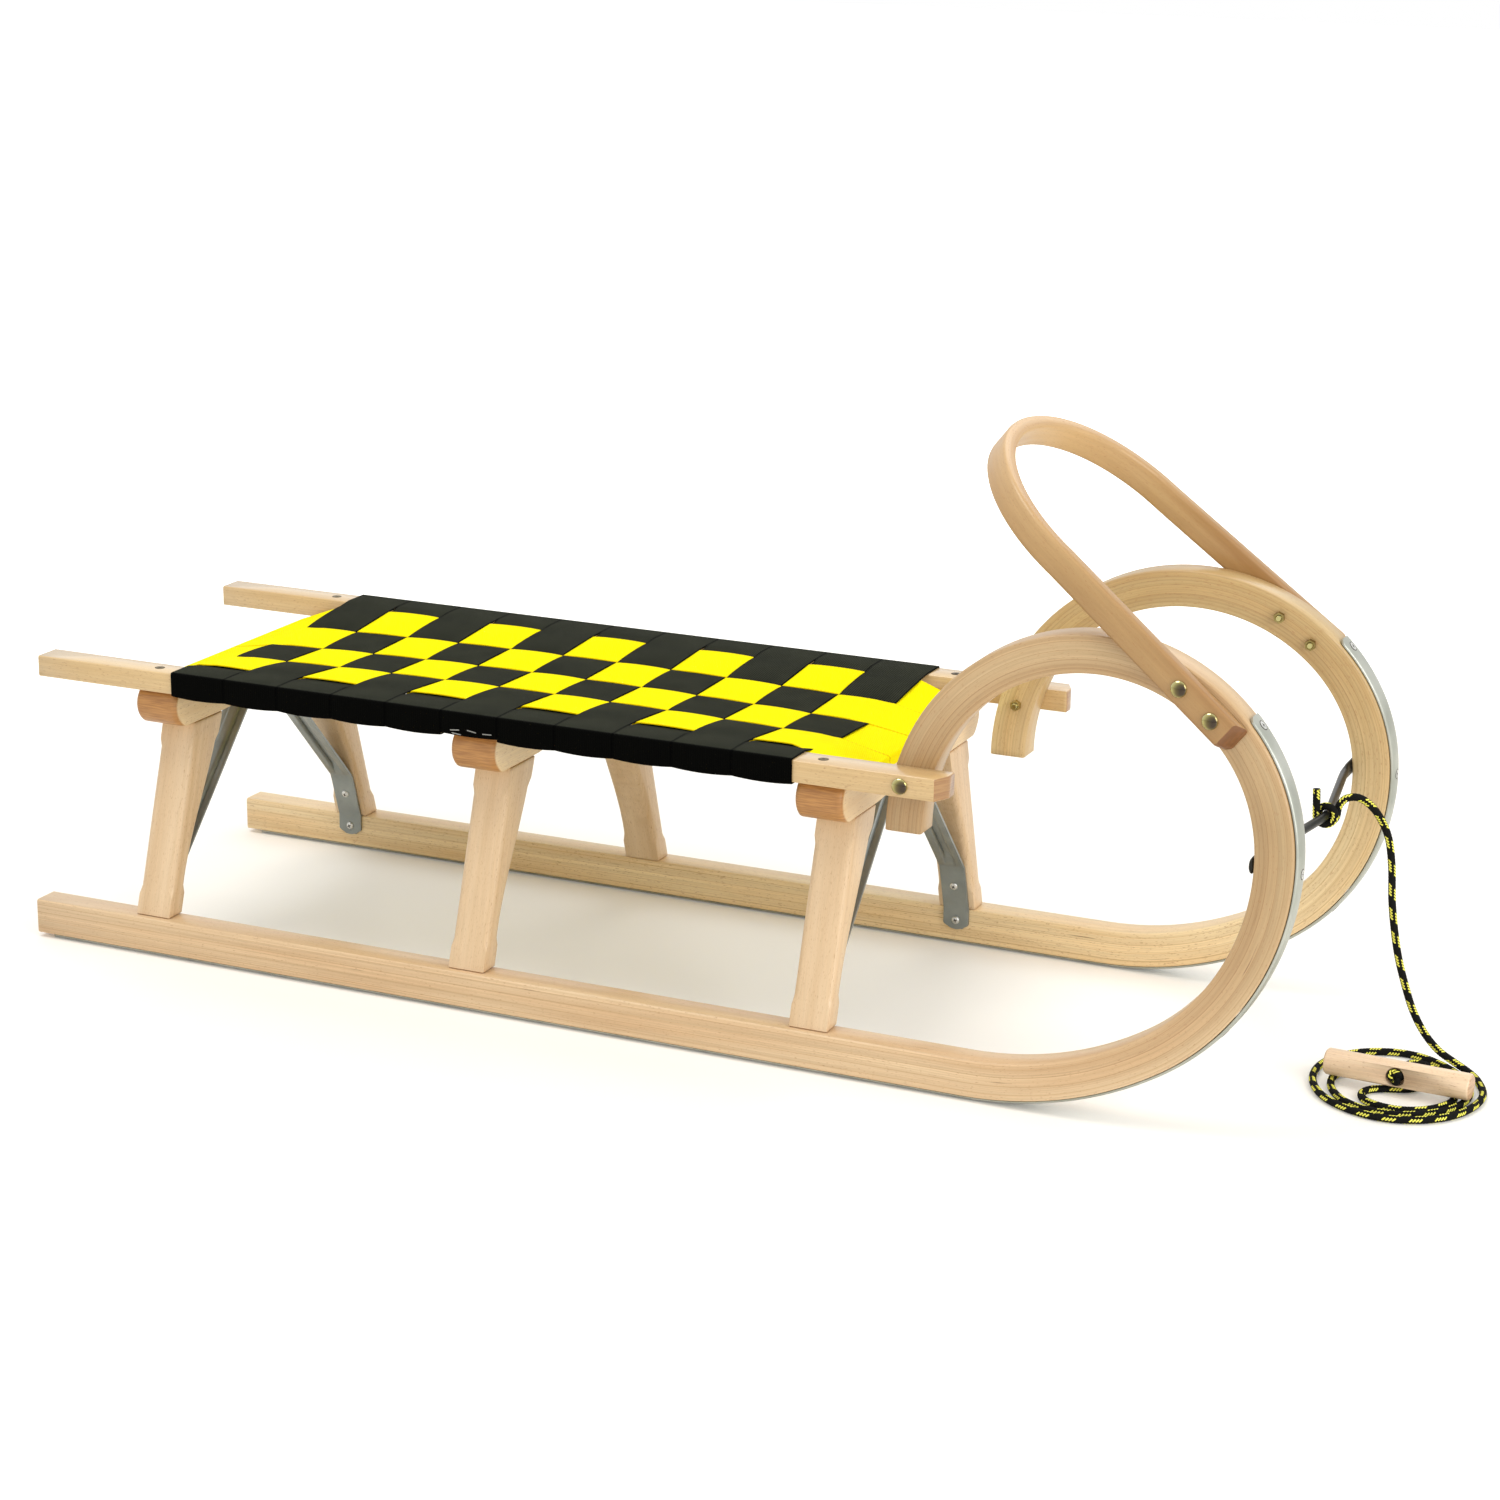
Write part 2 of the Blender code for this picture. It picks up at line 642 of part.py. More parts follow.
def make_bolt(name, seat, axis, grip):
    """A carriage bolt whose head sits at a point, with its nut behind what it clamps."""
    away = -axis
    turn = Vector((0, 0, 1)).rotation_difference(away).to_matrix().to_4x4()
    place = Matrix.Translation(seat + away * GAP) @ turn
    reach = grip + 2 * GAP + NUT_HEIGHT + BOLT_TIP
    dome = [math.radians(90 * k / 6) for k in range(7)]
    profile = [(0, -reach), (BOLT_RADIUS, -reach), (BOLT_RADIUS, 0), (BOLT_HEAD_RADIUS, 0)]
    profile.append((BOLT_HEAD_RADIUS, BOLT_RIM))
    for angle in dome[1:]:
        radius = BOLT_HEAD_RADIUS * math.cos(angle) if angle < dome[-1] else 0
        profile.append((radius, BOLT_RIM + (BOLT_HEAD_HEIGHT - BOLT_RIM) * math.sin(angle)))
    add_piece("bolt_" + name, turned(profile, 20, place), "yellow zinc", smooth=True)
    corners = [math.radians(60 * k + 30) for k in range(6)]
    corner_radius = NUT_ACROSS / math.sqrt(3)
    hexagon = [(corner_radius * math.cos(a), corner_radius * math.sin(a)) for a in corners]
    bore = [math.radians(18 * k) for k in range(20)]
    hole = [(BOLT_HOLE_RADIUS * math.cos(a), BOLT_HOLE_RADIUS * math.sin(a)) for a in bore]
    nut = board([hexagon, hole], NUT_HEIGHT, TOP_VIEW, (0, 0, -grip - 2 * GAP - NUT_HEIGHT / 2))
    nut.transform(place)
    add_piece("nut_" + name, nut, "yellow zinc")


def bolt_rail(side_name, side, rail, runner):
    """One bolt holds each horn's end to its rail."""
    z = (RAIL_TOP_Z + RAIL_BOTTOM_Z) / 2
    seat = Vector((RAIL_BOLT_X, side * RAIL_OUTER_Y, z))
    axis = Vector((0, -side, 0))
    grip = RAIL_WIDTH + GAP + RUNNER_WIDTH
    for piece in (rail, runner):
        drill(piece, BOLT_HOLE_RADIUS, seat + axis * grip / 2, axis, 2 * grip)
    make_bolt("rail_" + side_name, seat, axis, grip)


def bolt_bow(side_name, side, bow, runner):
    """Two bolts hold each arm of the bow to its horn."""
    outward = Vector((0, side * math.cos(ARM_TILT), 0)) + BOW_UP * math.sin(ARM_TILT)
    for label, along in zip(("lower", "upper"), BOW_BOLTS):
        y = BOW_HALF_SPAN - BOW_ARM_SLOPE * along
        centre = BOW_FOOT + BOW_UP * along + Vector((0, side * y, 0))
        seat = centre + outward * BOW_THICKNESS / 2
        place = nearest_distance(centre.x, centre.z)
        inner_face = horn_outer_y(place) - RUNNER_WIDTH
        grip = (abs(seat.y) - inner_face) / math.cos(ARM_TILT) + BOW_GRIP_PLAY
        for piece in (bow, runner):
            drill(piece, BOLT_HOLE_RADIUS, seat - outward * grip / 2, -outward, 2 * grip)
        make_bolt("bow_" + label + "_" + side_name, seat, -outward, grip)


# Tie rod


def make_rod():
    """A bent round rod with pressed flat ends that lie in the hollow of the horns."""
    place = min(np.arange(0.25, 0.42, 0.001), key=lambda s: abs(runner_point(s)[1] - ROD_Z))
    x, _, angle = runner_point(place)
    hollow_radius = CURL_ARCS[2][0] - RUNNER_HEIGHT / 2
    curve_rise = hollow_radius - math.sqrt(hollow_radius**2 - (ROD_TAB_HEIGHT / 2) ** 2)
    hollow_x = x - RUNNER_HEIGHT / 2 * math.sin(angle)
    tilt = abs(math.cos(angle)) * ROD_TAB_HEIGHT / 2
    tab_x = hollow_x - GAP - curve_rise - tilt - ROD_TAB_THICKNESS / 2
    tip_y = horn_outer_y(place) - ROD_TIP_INSET
    tab_y = tip_y - ROD_TAB_LENGTH
    round_y = tab_y - 0.010
    stations = [
        (tip_y, tab_x, ROD_TAB_THICKNESS * 0.6, ROD_TAB_HEIGHT * 0.6),
        (tip_y - 0.002, tab_x, ROD_TAB_THICKNESS, ROD_TAB_HEIGHT * 0.9),
        (tip_y - 0.005, tab_x, ROD_TAB_THICKNESS, ROD_TAB_HEIGHT),
        (tab_y, tab_x, ROD_TAB_THICKNESS, ROD_TAB_HEIGHT),
        (round_y, tab_x, 2 * ROD_RADIUS, 2 * ROD_RADIUS),
    ]
    middle = (0.0, tab_x + ROD_FORWARD, 2 * ROD_RADIUS, 2 * ROD_RADIUS)
    near_middle = (0.006, tab_x + ROD_FORWARD * 0.985, 2 * ROD_RADIUS, 2 * ROD_RADIUS)
    half = stations + [near_middle]
    rings = []
    for y, px, thick, high in half + [middle] + [(-y, px, t, h) for y, px, t, h in reversed(half)]:
        ring = []
        for k in range(16):
            turn = math.radians(22.5 * k)
            ring.append((px + thick / 2 * math.cos(turn), y, ROD_Z + high / 2 * math.sin(turn)))
        rings.append(ring)
    add_piece("tie_rod", lofted(rings), "rod steel", smooth=True)
    return tab_x + ROD_FORWARD


# Woven seat


def seat_level(x, y):
    """Middle height of the weave: it hangs between the rails and drops towards both ends."""
    across = [1 - (edge / RAIL_INNER_Y) ** 2 for edge in ROW_EDGES]
    hang = float(np.interp(abs(y), [0, *ROW_EDGES[-2:], RAIL_INNER_Y], [1, across[-2], across[-1], 0]))
    middle = (SEAT_REAR_X + SEAT_FRONT_X) / 2
    t = (x - middle) / ((SEAT_FRONT_X - SEAT_REAR_X) / 2)
    return SEAT_TOP_Z - hang * (SEAT_SAG + SEAT_END_DROP * min(t * t, 1.0))


def weave_cell(start, pitch, gap, up):
    """Stations over one crossing: flat side to side, arched a little, stepping only in the gap."""
    half_step = (STRAP_THICKNESS + WEAVE_PLAY) / 2
    room = (gap - WEAVE_CLEARANCE) / 2
    width = pitch - 2 * room
    cell = []
    for t in (0.0, 0.15, 0.5, 0.85, 1.0):
        lift = half_step + WEAVE_BULGE * math.sin(math.pi * t)
        cell.append((start + room + width * t, lift if up else -lift))
    return cell


def long_is_up(cross, row):
    """Which strap lies on top in the check: counted from the rear and from the right."""
    return (cross + row) % 2 == 0


def corner_points(centre, radius, first, last, steps=3):
    """Points round a corner, angles in degrees."""
    angles = [math.radians(first + (last - first) * k / steps) for k in range(steps + 1)]
    return [(centre[0] + radius * math.cos(a), centre[1] + radius * math.sin(a)) for a in angles]


def make_cross_strap(number):
    """A black strap over both rails; over the middle beam its ends stop on the rails' outer faces."""
    first_x = SEAT_REAR_X + number * CROSS_PITCH + CROSS_GAP / 2
    edges = (first_x, first_x + CROSS_WIDTH)
    off = GAP + STRAP_THICKNESS / 2
    bend = off + BEND_PLAY
    low_z = RAIL_BOTTOM_Z - off
    inner_low = (RAIL_OUTER_Y + off - bend, RAIL_BOTTOM_Z - off + bend)
    inner_high = (RAIL_OUTER_Y + off - bend, RAIL_TOP_Z + off - bend)
    over_beam = any(edges[0] < front and edges[1] > front - BEAM_WIDTH for front in BEAM_FRONTS)
    if over_beam:
        wrap = [(RAIL_OUTER_Y + off, RAIL_BOTTOM_Z + 0.001)]
    else:
        wrap = [(RAIL_OUTER_Y - UNDER_RAIL, low_z)] + corner_points(inner_low, bend, -90, 0)
    wrap += corner_points(inner_high, bend, 0, 90)
    wrap.append((RAIL_INNER_Y + 0.001, RAIL_TOP_Z + off))
    rows = []
    for y, z in wrap:
        rows.append([(x, -y, z) for x in edges])
    for row in range(LONG_COUNT):
        for y, lift in weave_cell(ROW_EDGES[row], LONG_PITCH, LONG_GAP, not long_is_up(number, row)):
            rows.append([(x, y, seat_level(x, y) + lift) for x in edges])
    for y, z in reversed(wrap):
        rows.append([(x, y, z) for x in edges])
    strap = add_piece("cross_strap_%02d" % (number + 1), bent_sheet(rows), "black webbing")
    thicken(strap, STRAP_THICKNESS)


def make_long_strap(row):
    """A yellow strap woven through the black ones and turned down over the end beams."""
    low_y = ROW_EDGES[row] + LONG_GAP / 2
    edges = (low_y, low_y + LONG_WIDTH)
    off = GAP + STRAP_THICKNESS / 2
    bend = off + BEND_PLAY
    rear_x = BEAM_FRONTS[0] - BEAM_WIDTH
    front_x = BEAM_FRONTS[2]
    rows = []

    def end_rows(face_x, outward):
        corner = (off - bend, BEAM_TOP_Z + off - bend)
        wrap = [(off, BEAM_TOP_Z - LONG_TAIL)] + corner_points(corner, bend, 0, 78)
        return [[(face_x + outward * u, y, z) for y in edges] for u, z in wrap]

    rows += end_rows(rear_x, -1)
    for number in range(CROSS_COUNT):
        start = SEAT_REAR_X + number * CROSS_PITCH
        for x, lift in weave_cell(start, CROSS_PITCH, CROSS_GAP, long_is_up(number, row)):
            rows.append([(x, y, seat_level(x, y) + lift) for y in edges])
    rows += reversed(end_rows(front_x, 1))
    strap = add_piece("long_strap_%d" % (row + 1), bent_sheet(rows), "yellow webbing")
    thicken(strap, STRAP_THICKNESS)


# Rope and pull handle

# The rope as seen in the photo: over the front of the rod and down to the ground (x, y, z),
DROP_ROUTE = [
    (0.5450, 0.0078, 0.2240), (0.5535, 0.0100, 0.2248), (0.5620, 0.0135, 0.2190), (0.5695, 0.0164, 0.2090),
    (0.5765, 0.0190, 0.1930), (0.5802, 0.0205, 0.1700), (0.5820, 0.0212, 0.1430), (0.5853, 0.0225, 0.1180),
    (0.5895, 0.0240, 0.0960), (0.5955, 0.0263, 0.0740), (0.6025, 0.0290, 0.0530), (0.6115, 0.0325, 0.0350),
    (0.6225, 0.0370, 0.0205), (0.6345, 0.0415, 0.0110), (0.6455, 0.0410, 0.0055),
]
# two loops and a turn back on the ground (x, y),
GROUND_ROUTE = [
    (0.6540, 0.0345), (0.6590, 0.0250), (0.6645, 0.0120), (0.6675, -0.0020), (0.6670, -0.0170),
    (0.6630, -0.0340), (0.6550, -0.0500), (0.6420, -0.0640), (0.6260, -0.0730), (0.6090, -0.0770),
    (0.5910, -0.0750), (0.5730, -0.0675), (0.5580, -0.0560), (0.5465, -0.0400), (0.5390, -0.0210),
    (0.5365, -0.0020), (0.5390, 0.0170), (0.5470, 0.0350), (0.5590, 0.0490), (0.5740, 0.0580),
    (0.5900, 0.0620), (0.6060, 0.0600), (0.6200, 0.0530), (0.6330, 0.0430), (0.6440, 0.0310),
    (0.6520, 0.0170), (0.6570, 0.0020), (0.6580, -0.0130), (0.6550, -0.0280), (0.6480, -0.0420),
    (0.6370, -0.0540), (0.6220, -0.0640), (0.6060, -0.0675), (0.5900, -0.0655), (0.5740, -0.0570),
    (0.5620, -0.0430), (0.5550, -0.0270), (0.5530, -0.0110), (0.5580, 0.0030), (0.5690, 0.0130),
    (0.5840, 0.0185), (0.5990, 0.0185), (0.6120, 0.0120), (0.6180, 0.0010), (0.6140, -0.0095),
    (0.6040, -0.0150), (0.5920, -0.0200), (0.5835, -0.0280), (0.5820, -0.0390), (0.5890, -0.0495),
    (0.6020, -0.0550), (0.6170, -0.0555), (0.6320, -0.0485), (0.6430, -0.0360), (0.6485, -0.0210),
]
# and up behind the handle into its hole (x, y, z).
RISE_ROUTE = [
    (0.6470, -0.0070, 0.0036), (0.6400, 0.0040, 0.0070), (0.6305, 0.0105, 0.0115), (0.6190, 0.0125, 0.0155),
    (0.6098, 0.0090, HANDLE_Z), (0.6062, 0.0005, HANDLE_Z), (0.6056, -0.0080, HANDLE_Z),
]


def handle_place(along, front, up):
    """A point given along the handle, towards its front and up from its axis."""
    turn = math.radians(HANDLE_TURN_DEGREES)
    x = HANDLE_X + along * math.cos(turn) + front * math.sin(turn)
    y = HANDLE_Y + along * math.sin(turn) - front * math.cos(turn)
    return Vector((x, y, HANDLE_Z + up))


def make_handle():
    chamfer = HANDLE_CHAMFER
    half = HANDLE_LENGTH / 2
    profile = [
        (0, -half), (HANDLE_RADIUS - chamfer, -half), (HANDLE_RADIUS, -half + chamfer),
        (HANDLE_RADIUS, half - chamfer), (HANDLE_RADIUS - chamfer, half), (0, half),
    ]
    centre = handle_place(0, 0, 0)
    along = (handle_place(1, 0, 0) - centre).normalized()
    front = (handle_place(0, 1, 0) - centre).normalized()
    turn = Vector((0, 0, 1)).rotation_difference(along).to_matrix().to_4x4()
    mesh = turned(profile, 32, Matrix.Translation(centre) @ turn)
    handle = add_piece("pull_handle", mesh, "handle beech", smooth=True)
    drill(handle, HANDLE_BORE_RADIUS, centre, front, 4 * HANDLE_RADIUS)
    depth = 2 * HANDLE_RADIUS
    drill(handle, HANDLE_POCKET_RADIUS, centre + front * (HANDLE_POCKET_FLOOR + depth / 2), front, depth)
    stopper = centre + front * (HANDLE_POCKET_FLOOR + GAP + STOPPER_RADIUS)
    ball = bmesh.new()
    bmesh.ops.create_uvsphere(
        ball, u_segments=16, v_segments=10, radius=STOPPER_RADIUS, matrix=Matrix.Translation(stopper)
    )
    knot = bpy.data.meshes.new("stopper")
    ball.to_mesh(knot)
    ball.free()
    add_piece("rope_stopper", knot, "rope", smooth=True)


def knot_route(rod_x):
    """The rope's tail comes down behind the rod, winds round it and leaves upwards in front."""
    radius = ROD_RADIUS + ROPE_RADIUS + GAP
    width = KNOT_TURNS * KNOT_PITCH
    tail_x = rod_x - radius
    route = [(tail_x - 0.001, -width / 2, ROD_Z + 0.021), (tail_x - 0.0005, -width / 2, ROD_Z + 0.012)]
    steps = round(KNOT_TURNS * 16)
    for k in range(steps + 1):
        turn = math.pi + 2 * math.pi * KNOT_TURNS * k / steps
        y = -width / 2 + width * k / steps
        route.append((rod_x + radius * math.cos(turn), y, ROD_Z + radius * math.sin(turn)))
    return route


def least_gap_to_itself(points, radius, skip):
    """Smallest distance between a tube's skin and itself, leaving out its near neighbours."""
    line = np.array([tuple(point) for point in points])
    lengths = np.concatenate(([0], np.cumsum(np.linalg.norm(np.diff(line, axis=0), axis=1))))
    apart = np.linalg.norm(line[:, None] - line[None, :], axis=2)
    far_along = np.abs(lengths[:, None] - lengths[None, :]) > skip
    return float(apart[far_along].min() - 2 * radius)


def cut_rope(line, places):
    """Cut one rope line into lengths, each cut in the middle of a straight bit, GAP wide."""
    parts = []
    rest = [Vector(point) for point in line]
    for place in sorted(places, reverse=True):
        before, after = rest[place], rest[place + 1]
        middle = (before + after) / 2
        half_gap = (after - before).normalized() * GAP / 2
        parts.append([middle + half_gap] + rest[place + 1:])
        rest = rest[: place + 1] + [middle - half_gap]
    return [rest] + parts[::-1]


def make_rope(rod_x):
    """The whole rope is one line: hitch round the rod, free drop, loops on the ground."""
    knot = [Vector(point) for point in knot_route(rod_x)]
    leave = [knot[-1] + Vector((0.0005, 0.0004, 0.0050)), knot[-1] + Vector((0.0022, 0.0012, 0.0090))]
    ground = [(x, y, ROPE_FLOOR) for x, y in GROUND_ROUTE]
    last = handle_place(0, HANDLE_POCKET_FLOOR - GAP, 0)
    free = smooth_route([knot[-1]] + leave + DROP_ROUTE + ground + RISE_ROUTE + [last], 2)
    line = knot + free[1:]
    landing = len(knot) + 2 * (len(leave) + len(DROP_ROUTE)) + 1
    lengths = cut_rope(line, (len(knot), landing))
    for name, part in zip(("rope_knot", "rope_drop", "rope_coil"), lengths):
        add_piece(name, tube(part, ROPE_RADIUS, 1), "rope", smooth=True)
        length = sum((b - a).length for a, b in zip(part, part[1:]))
        gap = least_gap_to_itself(part, ROPE_RADIUS, 0.022)
        print(name, "length mm", round(length * 1000, 1), "least gap to itself mm", round(gap * 1000, 2))


# Build the sled

bow = make_bow()
for side_name, side in SIDES.items():
    runner = make_runner(side_name, side)
    make_shoe(side_name, side)
    rail = make_rail(side_name, side)
    bolt_rail(side_name, side, rail, runner)
    bolt_bow(side_name, side, bow, runner)
    for place, front_x in zip(("rear", "middle", "front"), BEAM_FRONTS):
        make_leg("leg_" + place + "_" + side_name, front_x, side)

for place, front_x in zip(("rear", "middle", "front"), BEAM_FRONTS):
    make_beam("crossbeam_" + place, front_x)
for place, front_x in (("rear", BEAM_FRONTS[0]), ("front", BEAM_FRONTS[2])):
    make_brace("brace_" + place, front_x - LEG_WIDTH / 2)

for number in range(CROSS_COUNT):
    make_cross_strap(number)
for row in range(LONG_COUNT):
    make_long_strap(row)

make_rope(make_rod())
make_handle()
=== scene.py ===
# %% [markdown]
# # A wooden horn sled in a white studio
# The solid model of the sled is loaded first. It gives every piece its place and its size.
# Then each piece gets a fine surface: bent and sawn beech, steel, woven webbing and braided rope.
# All lengths are metres. +X is the front of the sled, +Y its left side and +Z is up.

import itertools
import math

import bmesh
import bpy
import numpy as np
from mathutils import Matrix, Vector


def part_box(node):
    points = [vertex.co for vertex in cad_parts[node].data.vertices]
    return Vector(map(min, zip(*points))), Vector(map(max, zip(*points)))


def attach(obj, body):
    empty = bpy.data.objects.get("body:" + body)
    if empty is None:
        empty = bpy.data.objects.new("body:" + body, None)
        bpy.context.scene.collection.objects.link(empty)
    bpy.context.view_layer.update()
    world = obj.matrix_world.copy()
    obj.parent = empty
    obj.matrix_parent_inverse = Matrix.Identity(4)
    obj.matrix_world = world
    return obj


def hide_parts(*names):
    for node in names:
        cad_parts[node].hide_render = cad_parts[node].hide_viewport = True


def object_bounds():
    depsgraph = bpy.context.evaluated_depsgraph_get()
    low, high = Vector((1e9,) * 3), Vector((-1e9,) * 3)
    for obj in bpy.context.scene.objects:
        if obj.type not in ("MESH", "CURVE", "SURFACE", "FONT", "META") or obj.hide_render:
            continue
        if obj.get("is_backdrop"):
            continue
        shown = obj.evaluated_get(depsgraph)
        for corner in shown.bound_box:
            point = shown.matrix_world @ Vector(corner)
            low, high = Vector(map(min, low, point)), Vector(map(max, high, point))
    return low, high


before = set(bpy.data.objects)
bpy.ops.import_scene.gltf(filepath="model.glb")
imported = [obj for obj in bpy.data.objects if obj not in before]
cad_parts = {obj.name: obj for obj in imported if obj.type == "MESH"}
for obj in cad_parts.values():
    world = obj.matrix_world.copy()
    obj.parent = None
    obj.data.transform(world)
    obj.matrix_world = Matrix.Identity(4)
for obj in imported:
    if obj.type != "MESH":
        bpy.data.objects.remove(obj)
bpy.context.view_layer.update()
SIDES = {"right": -1, "left": 1}


def add_object(name, data):
    """An object in the scene; data is its mesh, its lamp or its camera."""
    made = bpy.data.objects.new(name, data)
    bpy.context.scene.collection.objects.link(made)
    return made


print("solid pieces:", len(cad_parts))

# %% [markdown]
# ## The camera
# The picture was taken from the sled's right, a little from the front and from above, with a
# long lens. A camera can be aimed by angles or by a matrix. Here three unit vectors are worked out
# from yaw, pitch and roll and written into the matrix, so that each number keeps its meaning.

# %% Camera
CAMERA_PLACE = Vector((1.1202, -2.4003, 0.9650))
CAMERA_YAW = math.radians(24.11)
CAMERA_PITCH = math.radians(-16.24)
CAMERA_ROLL = math.radians(0.73)
CAMERA_LENS = 79.55

ahead = Vector(
    (
        -math.sin(CAMERA_YAW) * math.cos(CAMERA_PITCH),
        math.cos(CAMERA_YAW) * math.cos(CAMERA_PITCH),
        math.sin(CAMERA_PITCH),
    )
)
level_right = ahead.cross(Vector((0, 0, 1))).normalized()
level_up = level_right.cross(ahead)
camera_right = level_right * math.cos(CAMERA_ROLL) + level_up * math.sin(CAMERA_ROLL)
camera_up = level_up * math.cos(CAMERA_ROLL) - level_right * math.sin(CAMERA_ROLL)
camera_matrix = Matrix((camera_right, camera_up, -ahead)).transposed().to_4x4()
camera_matrix.translation = CAMERA_PLACE

camera = add_object("camera", bpy.data.cameras.new("camera"))
camera.data.lens = CAMERA_LENS
camera.data.sensor_width = 36.0
camera.matrix_world = camera_matrix
bpy.context.scene.camera = camera
bpy.context.view_layer.update()
print("camera looks along", tuple(round(v, 3) for v in ahead))

# %% [markdown]
# ## Small tools for materials
# A material is a tree of nodes. A few helpers keep the trees short to write: one adds a node and
# sets or joins its sockets, one makes noise at a chosen size, one turns a number into colours and
# one multiplies two colours. Colours are written as they look on a screen, 0 to 255, and are turned
# into linear light.


# %% Helpers for materials
def tone(red, green, blue):
    """A screen colour as linear light with full alpha."""
    linear = []
    for value in (red, green, blue):
        share = value / 255
        linear.append(share / 12.92 if share < 0.04 else ((share + 0.055) / 1.055) ** 2.4)
    return (*linear, 1.0)


def add_node(material, kind, sockets=(), **settings):
    """A node with its settings; sockets pairs an input's name or number with a value or an output."""
    made = material.node_tree.nodes.new(kind)
    for name, value in settings.items():
        setattr(made, name, value)
    for name, value in sockets:
        if isinstance(value, bpy.types.NodeSocket):
            material.node_tree.links.new(value, made.inputs[name])
        else:
            made.inputs[name].default_value = value
    return made


def calculate(material, operation, *values):
    """One sum, as an output that other nodes can use."""
    return add_node(material, "ShaderNodeMath", enumerate(values), operation=operation).outputs[0]


def noise(material, place, scale, detail=2.0):
    """Soft noise at a place in metres; scale is the number of cells to a metre on each axis."""
    sockets = ((0, place), (1, scale))
    vector = add_node(material, "ShaderNodeVectorMath", sockets, operation="MULTIPLY").outputs[0]
    sockets = (("Vector", vector), ("Scale", 1.0), ("Detail", detail))
    return add_node(material, "ShaderNodeTexNoise", sockets).outputs[0]


def ramp(material, factor, stops):
    """Colours or grey levels along a number from 0 to 1."""
    made = add_node(material, "ShaderNodeValToRGB", (("Fac", factor),))
    elements = made.color_ramp.elements
    while len(elements) < len(stops):
        elements.new(0.5)
    for element, (position, colour) in zip(elements, stops):
        element.position = position
        element.color = colour if isinstance(colour, tuple) else (colour, colour, colour, 1.0)
    return made.outputs[0]


def spread(material, value, stops):
    """A ramp whose stops are given in the value's own unit."""
    first, last = stops[0][0], stops[-1][0]
    sockets = (("Value", value), ("From Min", first), ("From Max", last))
    share = add_node(material, "ShaderNodeMapRange", sockets).outputs[0]
    return ramp(material, share, [((at - first) / (last - first), tint) for at, tint in stops])


def mixed(material, factor, first, second, blend="MIX"):
    """One colour over another; factor 0 shows the first and 1 the second."""
    sockets = ((0, factor), (6, first), (7, second))
    settings = {"data_type": "RGBA", "blend_type": blend}
    return add_node(material, "ShaderNodeMix", sockets, **settings).outputs[2]


def times(material, colour, change):
    """A colour multiplied by another one."""
    return mixed(material, 1.0, colour, change, "MULTIPLY")


def attribute(material, name, output):
    """A value that was written on the mesh under this name."""
    return add_node(material, "ShaderNodeAttribute", attribute_name=name).outputs[output]


def object_place(material):
    """Each point's own coordinates, which are metres."""
    return add_node(material, "ShaderNodeTexCoord").outputs["Object"]


def one_axis(material, vector, axis):
    """One of a vector's three numbers, counted from 0."""
    return add_node(material, "ShaderNodeSeparateXYZ", ((0, vector),)).outputs[axis]


def new_finish(name, **constants):
    """A material with its shader; constants are set on the shader's own sockets."""
    material = bpy.data.materials.new(name)
    material.use_nodes = True
    shader = material.node_tree.nodes["Principled BSDF"]
    for key, value in constants.items():
        shader.inputs[key.replace("_", " ")].default_value = value
    return material, shader


def join(material, output, shader, socket):
    """Link an output to one of the shader's inputs."""
    material.node_tree.links.new(output, shader.inputs[socket])


def bump(material, shader, height, depth):
    """Small relief: height is 0 to 1 and depth is what 1 stands for, in metres."""
    sockets = (("Height", height), ("Distance", depth))
    join(material, add_node(material, "ShaderNodeBump", sockets).outputs[0], shader, "Normal")


# %% [markdown]
# ## Beech
# All the wood is beech under a thin clear varnish. Beech is pale, with soft long bands and
# thousands of short brown flecks that lie along the grain. Where a board is cut across, the end
# shows darker and browner. A picture of wood could be wrapped round each board, but then the bands
# would not follow the bends. So each point of the wood carries its place in the board: along the
# grain, across it and through the thickness. The noise is stretched along the first of these.


# %% Beech finish
FLECK_BROWN = (160, 106, 62)
STREAK_BROWN = (112, 70, 40)
RING_BROWN = (140, 88, 44)


